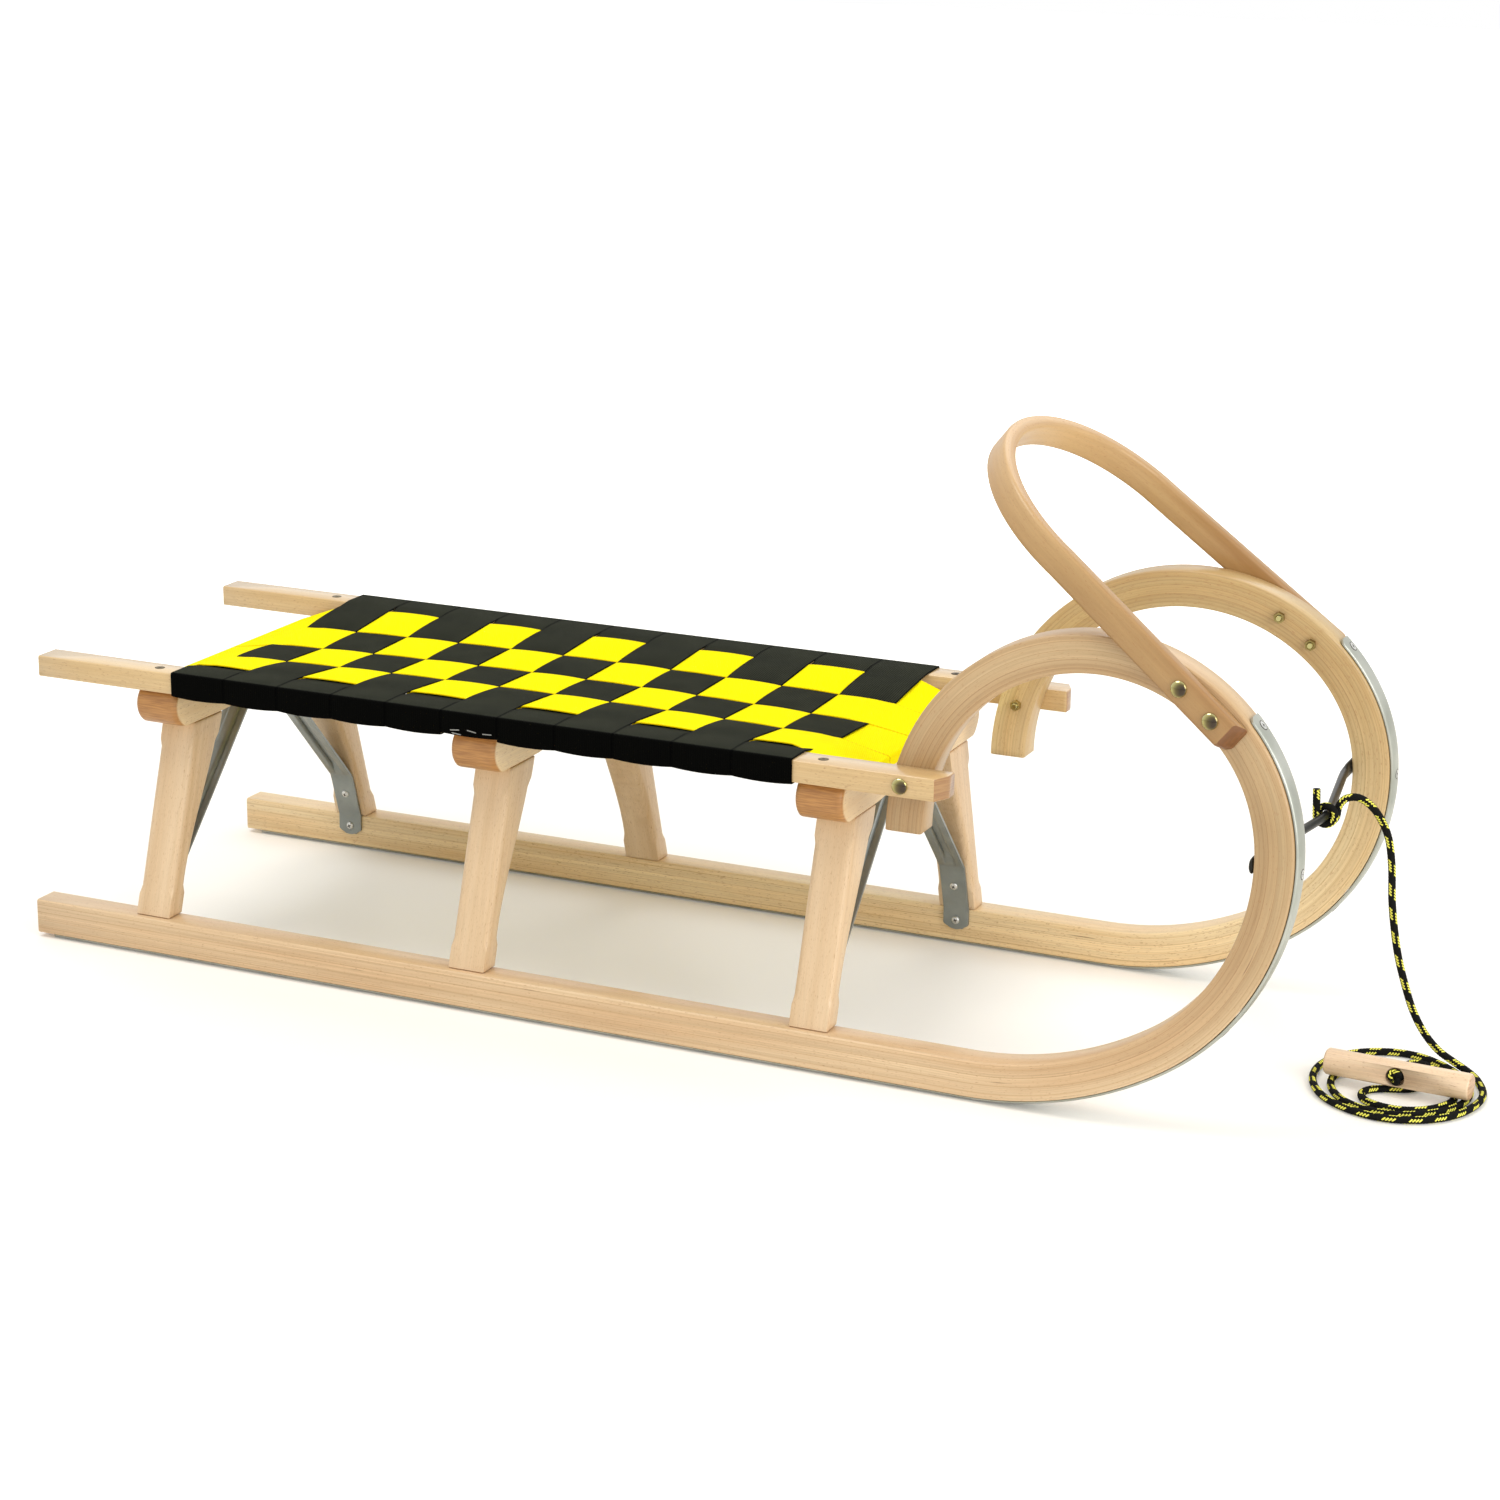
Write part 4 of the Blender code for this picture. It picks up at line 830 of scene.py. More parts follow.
# %% The runner's line
CURL_START_X = 0.3068
CURL_ARCS = ((0.274, 31.6), (0.174, 61.2), (0.137, 44.0), (0.151, 108.2), (0.170, 25.0))
CURL_STEP_DEGREES = 2.0
SHOE_THICKNESS = 0.0035
RUNNER_WIDTH = 0.0255
RUNNER_REAR_X = -0.5467
RUNNER_OUTER_Y = 0.1789
RUNNER_MIDDLE_Z = SHOE_THICKNESS + GAP + RUNNER_HEIGHT / 2
RAIL_OUTER_Y = 0.1559
RAIL_WIDTH = 0.026
RAIL_INNER_Y = RAIL_OUTER_Y - RAIL_WIDTH
SWEEP_START = 0.080               # the horn leans inwards between these two distances
SWEEP_END = 0.600
MARK_MARGIN = 0.004               # a mark closer to the end than this is left out
CURL_LENGTH = sum(radius * math.radians(degrees) for radius, degrees in CURL_ARCS)


def runner_point(distance):
    """Place and direction on the runner's middle line, measured from the curl's start."""
    x, z, angle = CURL_START_X, RUNNER_MIDDLE_Z, 0.0
    if distance <= 0:
        return x + distance, z, angle
    for radius, degrees in CURL_ARCS:
        turn = min(distance / radius, math.radians(degrees))
        x += radius * (math.sin(angle + turn) - math.sin(angle))
        z += radius * (math.cos(angle) - math.cos(angle + turn))
        angle += turn
        distance -= radius * turn
        if distance <= 1e-9:
            break
    return x, z, angle


def horn_outer_y(distance):
    """The horn's outer face comes in from the runner's width to its seat rail."""
    t = (distance - SWEEP_START) / (SWEEP_END - SWEEP_START)
    return RUNNER_OUTER_Y + (RAIL_INNER_Y - GAP - RUNNER_OUTER_Y) * ease(t)


def runner_marks(first, last):
    """Distances of the outlines: few where the runner is straight and many in the curl."""
    marks = list(np.linspace(first, 0.0, 9)[:-1])
    start = 0.0
    for radius, degrees in CURL_ARCS:
        steps = math.ceil(degrees / CURL_STEP_DEGREES)
        length = radius * math.radians(degrees)
        marks += [start + length * k / steps for k in range(steps)]
        start += length
    return [mark for mark in marks if mark < last - MARK_MARGIN] + [last]


def on_runner(distance, side, inwards, outside):
    """A point beside the runner's line: inwards from its outer face, and off its middle line
    towards the ground side."""
    x, z, angle = runner_point(distance)
    y = side * (horn_outer_y(distance) - inwards)
    return Vector((x + outside * math.sin(angle), y, z - outside * math.cos(angle)))


print("curl length", round(CURL_LENGTH, 3), "m")

# %% Runners
RUNNER_ROUND = 0.0016

for side_name, side in SIDES.items():
    sections = []
    for distance, shrink in eased(runner_marks(RUNNER_REAR_X - CURL_START_X, CURL_LENGTH)):
        outline = rounded_outline(
            shrink,
            RUNNER_WIDTH - shrink,
            shrink - RUNNER_HEIGHT / 2,
            RUNNER_HEIGHT / 2 - shrink,
            RUNNER_ROUND,
        )
        sections.append([(on_runner(distance, side, a, b), (distance, a, -b)) for a, b in outline])
    name = "runner_" + side_name
    loft("bent_" + name, sections, RUNNER_BEECH[side_name], "bent_beech", [name])
print("runner outlines:", len(sections))

# %% [markdown]
# ## Steel shoes
# A steel strip with a domed outer face runs under each runner and up the front of the curl. Its ends
# are blunt with round corners, and countersunk screws hold it. A strip like this could be a curve
# with a bevel profile, but the ends need a width that changes, so it is lofted like the wood.


# %% Steel finishes
def steel(name, colour, dull, shine, metallic):
    """Steel with fine drawing lines and a few soft stains."""
    material, shader = new_finish(name, Metallic=metallic)
    place = object_place(material)
    stains = noise(material, place, (30, 30, 30), 4.0)
    stained = ramp(material, stains, ((0.35, tone(*dull)), (0.65, tone(*colour))))
    join(material, stained, shader, "Base Color")
    scratches = noise(material, place, (300, 3000, 900), 3.0)
    scratched = ramp(material, scratches, ((0.3, shine), (0.7, shine + 0.14)))
    join(material, scratched, shader, "Roughness")
    bump(material, shader, scratches, 0.00002)
    return material


SHOE_STEEL = steel("shoe_steel", (190, 192, 182), (170, 173, 162), 0.34, 0.75)
BRACE_STEEL = steel("brace_steel", (152, 157, 154), (132, 137, 134), 0.28, 0.65)
ROD_STEEL = steel("rod_steel", (52, 52, 48), (34, 34, 31), 0.28, 0.7)
SCREW_STEEL = steel("screw_steel", (226, 226, 222), (196, 196, 190), 0.24, 0.7)
DULL_SCREW = steel("dull_screw", (128, 116, 88), (88, 76, 54), 0.42, 0.7)
# Painted shade: a dark brown for screw recesses and for rings round the rail and shoe screws.
HOLLOW_SHADE = steel("painted_hollow_shade", (58, 46, 34), (38, 30, 22), 0.5, 0.2)
YELLOW_ZINC = steel("yellow_zinc", (192, 178, 122), (138, 122, 74), 0.12, 1.0)
STAPLE_STEEL = steel("staple_steel", (190, 190, 186), (150, 150, 146), 0.25, 1.0)
print("metal finishes: 8")

# %% Shoes
SHOE_WIDTH = 0.020
SHOE_RIM = 0.0014                 # thickness at the strip's long edges
SHOE_CHAMFER = 0.0006             # height of the slant beside the face on the wood
SHOE_END_RADIUS = 0.0055
SHOE_TIP_SHARE = 0.45             # the blunt tip is this much of the strip's width
SHOE_UNDERCUT = 0.90              # the face on the wood is this much narrower than the strip
SHOE_REAR_SETBACK = 0.012
SHOE_END = 0.438
SHOE_FACE = RUNNER_HEIGHT / 2 + GAP


def shoe_stations(first, last):
    """Distances along the shoe with the share of its width at each: the ends are blunt."""
    ends = []
    for turn in (90, 78, 66, 54, 42, 30, 15, 0):
        from_tip = 1 - math.sin(math.radians(turn))
        share = SHOE_TIP_SHARE + (1 - SHOE_TIP_SHARE) * math.sqrt(1 - (1 - from_tip) ** 2)
        ends.append((SHOE_END_RADIUS * from_tip, share))
    inside = (first + SHOE_END_RADIUS, last - SHOE_END_RADIUS)
    between = [mark for mark in runner_marks(first, last) if inside[0] < mark < inside[1]]
    stations = [(first + near, share) for near, share in ends]
    stations += [(mark, 1.0) for mark in between]
    return stations + [(last - near, share) for near, share in reversed(ends)]


for side_name, side in SIDES.items():
    sections = []
    first = RUNNER_REAR_X + SHOE_REAR_SETBACK - CURL_START_X
    for distance, share in shoe_stations(first, SHOE_END):
        half = SHOE_WIDTH / 2 * share
        narrow = half * SHOE_UNDERCUT
        outline = [(-narrow, SHOE_FACE), (narrow, SHOE_FACE), (half, SHOE_FACE + SHOE_CHAMFER)]
        for k in range(11):
            a = half * math.cos(math.pi * k / 10)
            dome = math.sqrt(max(1 - (a / (SHOE_WIDTH / 2)) ** 2, 0))
            outline.append((a, SHOE_FACE + SHOE_RIM + (SHOE_THICKNESS - SHOE_RIM) * dome))
        outline.append((-half, SHOE_FACE + SHOE_CHAMFER))
        section = []
        for a, b in outline:
            section.append((on_runner(distance, side, RUNNER_WIDTH / 2 + a, b), (distance, a, b)))
        sections.append(section)
    name = "shoe_" + side_name
    loft("domed_" + name, sections, SHOE_STEEL, "shoe_steel", [name])
print("shoe outlines:", len(sections))

# %% [markdown]
# ## Sawn beech: rails, crossbeams and legs
# The straight pieces are sawn boards. The rails' front corners are cut on a slant. The crossbeams'
# ends are well rounded underneath and a little above. The legs are broad at the head and slim at the
# foot, and their long edges are rounded over, but only between the foot and the head.

# %% Seat rails
RAIL_REAR_X = -0.550
RAIL_FRONT_X = RAIL_REAR_X + 0.8253
RAIL_TOP_Z = 0.2454
RAIL_BOTTOM_Z = RAIL_TOP_Z - 0.0181
RAIL_NOSE_LENGTH = 0.007
RAIL_NOSE_DEPTH = 0.0145
RAIL_ROUND = 0.0012
SCREW_HOLLOW = 0.0042             # radius of the countersink at the rail's top
RAIL_SCREW_XS = (-0.435, 0.172)
ALONG_RAIL = Vector((1, 0, 0))

for side_name, side in SIDES.items():
    nose_start = RAIL_FRONT_X - RAIL_NOSE_LENGTH
    nose = list(np.linspace(nose_start, RAIL_FRONT_X, 4))
    stations = [RAIL_REAR_X] + list(np.linspace(RAIL_REAR_X + 0.05, nose_start - 0.01, 12)) + nose
    sections = []
    for x, shrink in eased(stations):
        slant = RAIL_NOSE_DEPTH * max(x - nose_start, 0) / RAIL_NOSE_LENGTH
        outline = rounded_outline(
            RAIL_INNER_Y + shrink,
            RAIL_OUTER_Y - slant - shrink,
            RAIL_BOTTOM_Z + shrink,
            RAIL_TOP_Z - shrink,
            RAIL_ROUND,
        )
        sections.append([(Vector((x, side * a, b)), (x, a, b)) for a, b in outline])
    name = "seat_rail_" + side_name
    loft("sawn_" + name, sections, BOARD_BEECH, "beech_frame", [name], ALONG_RAIL)
print("rail length", round(RAIL_FRONT_X - RAIL_REAR_X, 4), "m")

# %% Crossbeams
BEAM_WIDTH = 0.0401
BEAM_HEIGHT = 0.032
BEAM_HALF_LENGTH = 0.1525
BEAM_CORNER_RADIUS = 0.018
BEAM_ARCH = 0.007
BEAM_END_ROUND = 0.0045
BEAM_EDGE_ROUND = 0.0012
BEAM_TOP_Z = RAIL_BOTTOM_Z - GAP
BEAM_BOTTOM_Z = BEAM_TOP_Z - BEAM_HEIGHT
LEG_WIDTH = 0.0326
LEG_TOP_OUTER_Y = 0.123
LEG_TOP_THICKNESS = 0.042
FIRST_LEG_X = -0.4476
LEG_PITCH = 0.3034
BEAM_FRONTS = [FIRST_LEG_X + LEG_WIDTH + k * LEG_PITCH for k in range(3)]
PLACES = ("rear", "middle", "front")
ALONG_BEAM = Vector((0, 1, 0))
BEAM_END_LIMITS = (0.12, 0.42)    # the rounded ends show end grain early


def beam_underside(y):
    """Arched in the middle, flat on the legs and rounded off at both ends."""
    reach = LEG_TOP_OUTER_Y - LEG_TOP_THICKNESS
    arched = BEAM_BOTTOM_Z + BEAM_ARCH * (1 - ease(abs(y) / reach))
    past = abs(y) - (BEAM_HALF_LENGTH - BEAM_CORNER_RADIUS)
    if past <= 0:
        return arched
    drop = math.sqrt(max(BEAM_CORNER_RADIUS**2 - past**2, 0.0))
    return BEAM_BOTTOM_Z + BEAM_CORNER_RADIUS - drop


def rounding(radius, depth):
    """How far a rounded edge of this radius lies inside, at a depth from the face."""
    left = max(radius - depth, 0.0)
    return radius - math.sqrt(radius**2 - left**2)


def beam_outline(depth):
    """The beam seen from the front: flat on top, arched underneath and round at both ends. The
    outline is smaller near the beam's two faces, because its edges are rounded."""
    end_inset = rounding(BEAM_END_ROUND, depth)
    edge_inset = rounding(BEAM_EDGE_ROUND, depth)
    centre_y = BEAM_HALF_LENGTH - BEAM_CORNER_RADIUS
    centre_z = BEAM_BOTTOM_Z + BEAM_CORNER_RADIUS
    last_turn = math.asin((BEAM_TOP_Z - centre_z) / BEAM_CORNER_RADIUS)
    top = BEAM_TOP_Z - edge_inset
    half = [(y, beam_underside(y) + edge_inset) for y in np.linspace(0.006, centre_y - 0.003, 12)]
    for k in range(17):
        turn = -math.pi / 2 + (last_turn + math.pi / 2) * k / 16
        inset = edge_inset + (end_inset - edge_inset) * ease(k / 6)
        radius = BEAM_CORNER_RADIUS - inset
        z = min(centre_z + radius * math.sin(turn), top)
        half.append((centre_y + radius * math.cos(turn), z))
    half += [(y, top) for y in (centre_y + 0.004, centre_y / 2, 0.006)]
    return half + [(-y, z) for y, z in reversed(half)]


edge_turns = (0, 12, 24, 36, 50, 65, 80, 90)
near_face = [BEAM_END_ROUND * (1 - math.cos(math.radians(turn))) for turn in edge_turns]
beam_depths = near_face + [BEAM_WIDTH / 2] + [BEAM_WIDTH - depth for depth in reversed(near_face)]
for place, front_x in zip(PLACES, BEAM_FRONTS):
    sections = []
    for depth in beam_depths:
        x = front_x - BEAM_WIDTH + depth
        outline = beam_outline(min(depth, BEAM_WIDTH - depth))
        sections.append([(Vector((x, y, z)), (y, x, z)) for y, z in outline])
    name = "crossbeam_" + place
    grain = (ALONG_BEAM, BEAM_END_LIMITS)
    loft("rounded_" + name, sections, BEAM_BEECH, "beech_frame", [name], *grain)
print("crossbeam outlines:", len(sections))

# %% Legs
LEG_FOOT_Z = RUNNER_MIDDLE_Z + RUNNER_HEIGHT / 2 + GAP
LEG_TOP_Z = BEAM_BOTTOM_Z - GAP
LEG_SET_BACK = 0.0055             # the foot stands this much inside the runner's outer face
LEG_FOOT_OUTER_Y = RUNNER_OUTER_Y - LEG_SET_BACK
LEG_FOOT_THICKNESS = RUNNER_WIDTH - LEG_SET_BACK
LEG_FLARE_START = 0.028
LEG_ROUND = 0.0055
LEG_EDGE = 0.0008                 # the long edges' small radius at foot and head
ROUND_STOP = 0.016                # the rounded edges stop this far from foot and head
ROUND_RUN_OUT = 0.008             # and grow from small to full over this length


def leg_outer_y(z):
    """The leg's outer face slants inwards from foot to head."""
    t = (z - LEG_FOOT_Z) / (LEG_TOP_Z - LEG_FOOT_Z)
    return LEG_FOOT_OUTER_Y + (LEG_TOP_OUTER_Y - LEG_FOOT_OUTER_Y) * t


def leg_inner_y(z):
    """The leg grows from the runner's width to its broad head."""
    start = LEG_FOOT_Z + LEG_FLARE_START
    grown = ease((z - start) / (LEG_TOP_Z - start))
    return leg_outer_y(z) - LEG_FOOT_THICKNESS - (LEG_TOP_THICKNESS - LEG_FOOT_THICKNESS) * grown


def leg_round(z):
    """Radius of the long edges at a height."""
    from_end = min(z - LEG_FOOT_Z, LEG_TOP_Z - z)
    return LEG_EDGE + (LEG_ROUND - LEG_EDGE) * ease((from_end - ROUND_STOP) / ROUND_RUN_OUT)


leg_heights = list(np.linspace(LEG_FOOT_Z, LEG_TOP_Z, 49))
for place, front_x in zip(PLACES, BEAM_FRONTS):
    for side_name, side in SIDES.items():
        sections = []
        for z, shrink in eased(leg_heights):
            outline = rounded_outline(
                front_x - LEG_WIDTH + shrink,
                front_x - shrink,
                leg_inner_y(z) + shrink,
                leg_outer_y(z) - shrink,
                leg_round(z),
                3,
            )
            sections.append(
                [(Vector((a, side * b, z)), (z, a, b - leg_outer_y(z))) for a, b in outline]
            )
        name = "leg_" + place + "_" + side_name
        loft("sawn_" + name, sections, LEG_BEECH, "beech_frame", [name])
print("legs: 6, height", round(LEG_TOP_Z - LEG_FOOT_Z, 3), "m")

# %% [markdown]
# ## The bow
# A bent strip joins the horns and serves as a backrest or a handle. Its two straight arms close in
# upwards and end in a half ellipse. The strip lies flat against the horns' outer faces.

# %% Bow
BOW_LEAN = math.radians(51.6)
BOW_UP = Vector((-math.sin(BOW_LEAN), 0, math.cos(BOW_LEAN)))
BOW_FACE = Vector((math.cos(BOW_LEAN), 0, math.sin(BOW_LEAN)))
BOW_FOOT = Vector((0.4941, 0, 0.3055))
BOW_THICKNESS = 0.0123
BOW_WIDTH = 0.0235
BOW_ARM = 0.179
BOW_RISE = 0.1077
BOW_ARM_SLOPE = 0.107
BOW_SEAT = 0.085
BOW_ROUND = 0.0030
BOW_END_ROUND = 0.004
BOW_END_SLANT = 0.0095            # the arm's outer face ends this much before its inner face
BOW_OUTER_START = 0.0039
BOW_SLANT_REACH = 0.020
BOW_END_EASE = 0.0003
BOW_ARC_STEPS = 64
ARM_TILT = math.atan(BOW_ARM_SLOPE)


def nearest_distance(x, z):
    """Distance along the curl of the point nearest to a place in the side view."""
    marks = np.arange(0.30, 0.62, 0.002)
    return min(marks, key=lambda s: math.hypot(runner_point(s)[0] - x, runner_point(s)[1] - z))


def bow_foot_half_span():
    """The arms stand just far enough apart to lie against the horns' outer faces."""
    need = 0.0
    for along in np.linspace(0, BOW_SEAT, 12):
        for across in (-0.5, 0.0, 0.5):
            place = BOW_FOOT + BOW_UP * along + BOW_FACE * across * BOW_WIDTH
            face = horn_outer_y(nearest_distance(place.x, place.z)) + GAP
            need = max(need, face + BOW_THICKNESS / 2 / math.cos(ARM_TILT) + BOW_ARM_SLOPE * along)
    return need


bow_half_span = bow_foot_half_span()
bow_top_half_span = bow_half_span - BOW_ARM_SLOPE * BOW_ARM
arm_start = BOW_OUTER_START - BOW_END_SLANT
arm_steps = [arm_start + step for step in (0.0, 0.0003, 0.0015, 0.003, 0.005, 0.010, 0.015)]
arm_steps += list(np.linspace(0.02, BOW_ARM * 0.97, 12))
right_arm = [(-(bow_half_span - BOW_ARM_SLOPE * d), d) for d in arm_steps]
arc = []
for k in range(BOW_ARC_STEPS + 1):
    turn = math.pi * k / BOW_ARC_STEPS
    arc.append((-bow_top_half_span * math.cos(turn), BOW_ARM + BOW_RISE * math.sin(turn)))
bow_line = right_arm + arc + [(-y, d) for y, d in reversed(right_arm)]
bow_lengths = np.concatenate(
    ([0], np.cumsum([math.dist(a, b) for a, b in zip(bow_line, bow_line[1:])]))
)
sections = []
for k, (y, d) in enumerate(bow_line):
    before, after = bow_line[max(k - 1, 0)], bow_line[min(k + 1, len(bow_line) - 1)]
    run = Vector((after[0] - before[0], after[1] - before[1])).normalized()
    middle = BOW_FOOT + BOW_UP * d + Vector((0, y, 0))
    inwards = Vector((0, run.y, 0)) - BOW_UP * run.x
    from_end = min(bow_lengths[k], bow_lengths[-1] - bow_lengths[k])
    shrink = BOW_END_EASE if from_end == 0 else 0.0
    near_end = max(BOW_END_ROUND - from_end, 0.0)
    corner = BOW_END_ROUND - math.sqrt(BOW_END_ROUND**2 - near_end**2)
    outline = rounded_outline(
        -BOW_THICKNESS / 2 + shrink,
        BOW_THICKNESS / 2 - shrink,
        -BOW_WIDTH / 2 + shrink + corner,
        BOW_WIDTH / 2 - shrink,
        BOW_ROUND,
        3,
    )
    along = Vector((0, run.x, 0)) + BOW_UP * run.y
    slant = BOW_END_SLANT * max(1 - from_end / BOW_SLANT_REACH, 0.0)
    if k > len(bow_line) / 2:
        slant = -slant
    section = []
    for a, b in outline:
        late = slant * (0.5 - a / BOW_THICKNESS)
        point = middle + inwards * a + BOW_FACE * b + along * late
        section.append((point, (bow_lengths[k] + late, b, a)))
    sections.append(section)
loft("bent_bow", sections, BOW_BEECH, "bent_beech", ["bow_handle"], reach=(0.4, 0.7))
print("bow strip length", round(float(bow_lengths[-1]), 3), "m")

# %% [markdown]
# ## Pressed steel braces
# Under the first and the last beam one steel strip runs from leg to leg. It is pressed from flat
# steel: a rib stiffens each slanting arm, and flat feet with round ends are screwed to the runners
# and legs. It is drawn as a sheet of points, thickened by a Solidify modifier.

# %% Braces
BRACE_WIDTH = 0.023
BRACE_THICKNESS = 0.002
BRACE_FOOT_Z = 0.0150
BRACE_BEND_Z = 0.076
BRACE_FLAT = 0.021                # half the length of the flat part under the beam
BRACE_CORNER = 0.0025
BRACE_FOOT_BELLY = 0.0036         # how far the foot's rounded end stands out in the middle
BRACE_BELLY_REACH = 0.020
BRACE_RIB_HALF = 0.0052
BRACE_RIB_SLOPE = 0.0016
BRACE_RIB_HEIGHT = 0.003
BRACE_RIB_FREE = 0.03             # shares of the arm: flat at both ends, then the rib rises
BRACE_RIB_RISE = 0.09
HALF_ACROSS = (0.06, 0.18, 0.30, 0.33, 0.38, 0.43, 0.46, 0.60, 0.80, 1.0)
BRACE_ACROSS = [-share for share in reversed(HALF_ACROSS)] + [0.0] + list(HALF_ACROSS)


def brace_rows(middle_x):
    """Rows of points across the strip, from one foot up to the middle of the beam."""
    off_face = GAP + BRACE_THICKNESS / 2
    lean = math.atan2(leg_outer_y(LEG_FOOT_Z) - leg_outer_y(LEG_TOP_Z), LEG_TOP_Z - LEG_FOOT_Z)
    foot_y = RUNNER_OUTER_Y - RUNNER_WIDTH - off_face
    foot = Vector((foot_y, BRACE_FOOT_Z))
    ankle = Vector((foot_y, LEG_FOOT_Z))
    bend = Vector((leg_inner_y(BRACE_BEND_Z) - off_face / math.cos(lean), BRACE_BEND_Z))
    top_z = beam_underside(BRACE_FLAT) - GAP - BRACE_THICKNESS / 2
    top = Vector((BRACE_FLAT, top_z))
    arm = (top - bend).normalized()
    outward = Vector((arm.y, -arm.x))
    stations = []
    for turn in range(0, 91, 15):
        angle = math.radians(turn)
        drop = BRACE_CORNER * (1 - math.cos(angle))
        half = BRACE_WIDTH / 2 - BRACE_CORNER * (1 - math.sin(angle))
        stations.append((foot + Vector((0, drop)), 0.0, half))
    half = BRACE_WIDTH / 2
    for start, end, steps in ((ankle, bend, 6), (bend, top, 36), (top, Vector((0.0, top_z)), 4)):
        for k in range(steps):
            t = k / steps
            rib = ease((min(t, 1 - t) - BRACE_RIB_FREE) / BRACE_RIB_RISE) if start is bend else 0.0
            stations.append((start.lerp(end, t), rib, half))
    stations.append((Vector((0.0, top_z)), 0.0, half))
    rows = []
    for point, rib, half in stations:
        near_foot = max(1 - (point.y - BRACE_FOOT_Z) / BRACE_BELLY_REACH, 0.0)
        row = []
        for share in BRACE_ACROSS:
            x = half * share
            swell = ease((BRACE_RIB_HALF - abs(x)) / BRACE_RIB_SLOPE)
            raised = point + outward * swell * rib * BRACE_RIB_HEIGHT
            raised.y += BRACE_FOOT_BELLY * near_foot * share**2
            row.append((middle_x + x, raised.x, raised.y))
        rows.append(row)
    return rows


def sheet_mesh(name, rows):
    """An open sheet through rows of points."""
    across = len(rows[0])
    faces = []
    for here in range(0, (len(rows) - 1) * across, across):
        there = here + across
        faces += [(here + c, here + c + 1, there + c + 1, there + c) for c in range(across - 1)]
    return new_mesh(name, [point for row in rows for point in row], faces)


def thickened(piece, thickness, edge):
    """Make a solid of a sheet, and round its sharp edges."""
    solid = piece.modifiers.new("thickness", "SOLIDIFY")
    solid.thickness = thickness
    solid.offset = 0
    soft = piece.modifiers.new("soft edges", "BEVEL")
    soft.width = edge
    soft.segments = 2
    soft.limit_method = "ANGLE"
    soft.angle_limit = math.radians(60)


for place, front_x in (("rear", BEAM_FRONTS[0]), ("front", BEAM_FRONTS[2])):
    half_rows = brace_rows(front_x - LEG_WIDTH / 2)
    mirrored = [[(x, -y, z) for x, y, z in row] for row in reversed(half_rows[:-1])]
    brace = add_object("pressed_brace_" + place, sheet_mesh("brace", half_rows + mirrored))
    brace.data.shade_smooth()
    thickened(brace, BRACE_THICKNESS, 0.0004)
    show(brace, BRACE_STEEL, ["brace_" + place])
print("brace rows:", len(half_rows))

# %% [markdown]
# ## The tie rod
# A bent round rod crosses between the horns. Its ends are pressed flat and lie in the hollow of the
# curls. The rope is hitched where the rod stands furthest forward.

# %% Tie rod
ROD_FORWARD = 0.0165
TAB_HEIGHT = 0.013
TAB_THICKNESS = 0.0045
TAB_LENGTH = 0.026
ROD_TIP_INSET = 0.004             # the tips end this far inside the horns' outer faces
ROD_TAPER = 0.010                 # from the flat tab to the round rod
ROD_STRAIGHT_END = 0.012          # the slant goes on to this far from the sled's middle
ROD_SIDES = 28
ROD_THICKNESS = 2 * ROD_RADIUS

rod_mark = min(np.arange(0.25, 0.42, 0.001), key=lambda s: abs(runner_point(s)[1] - ROD_Z))
tab_x = ROD_X - ROD_FORWARD
tip_y = horn_outer_y(rod_mark) - ROD_TIP_INSET
tab_y = tip_y - TAB_LENGTH
round_y = tab_y - ROD_TAPER
half_rod = [
    (tip_y, tab_x, TAB_THICKNESS * 0.5, TAB_HEIGHT * 0.5),
    (tip_y - 0.001, tab_x, TAB_THICKNESS * 0.85, TAB_HEIGHT * 0.78),
    (tip_y - 0.0025, tab_x, TAB_THICKNESS, TAB_HEIGHT * 0.93),
    (tip_y - 0.005, tab_x, TAB_THICKNESS, TAB_HEIGHT),
    (tab_y, tab_x, TAB_THICKNESS, TAB_HEIGHT),
    (tab_y - 0.003, tab_x, 0.0052, 0.0112),
    (tab_y - 0.007, tab_x, 0.0066, 0.0080),
    (round_y, tab_x + 0.0002, ROD_THICKNESS, ROD_THICKNESS),
]
for k in range(1, 8):
    t = k / 8
    y = round_y + (ROD_STRAIGHT_END - round_y) * t
    half_rod.append((y, tab_x + ROD_FORWARD * 0.95 * t, ROD_THICKNESS, ROD_THICKNESS))
half_rod.append((0.006, ROD_X - ROD_FORWARD * 0.012, ROD_THICKNESS, ROD_THICKNESS))
mirrored_rod = [(-y, x, thick, high) for y, x, thick, high in reversed(half_rod)]
sections = []
for y, x, thick, high in half_rod + [(0.0, ROD_X, ROD_THICKNESS, ROD_THICKNESS)] + mirrored_rod:
    section = []
    for k in range(ROD_SIDES):
        turn = 2 * math.pi * k / ROD_SIDES
        point = Vector((x + thick / 2 * math.cos(turn), y, ROD_Z + high / 2 * math.sin(turn)))
        section.append((point, point))
    sections.append(section)
loft("bent_tie_rod", sections, ROD_STEEL, "rod_steel", ["tie_rod"])

# %% [markdown]
# ## The woven seat
# Eleven black straps lie across the rails and four yellow ones are woven through them from end to
# end. Each crossing is a small cushion: the strap on top arches up, the one below arches down, and
# both step to the other level where their neighbours meet. The straps are drawn as sheets of points
# with many rows to a crossing, so that the arches are real shapes, and then thickened.

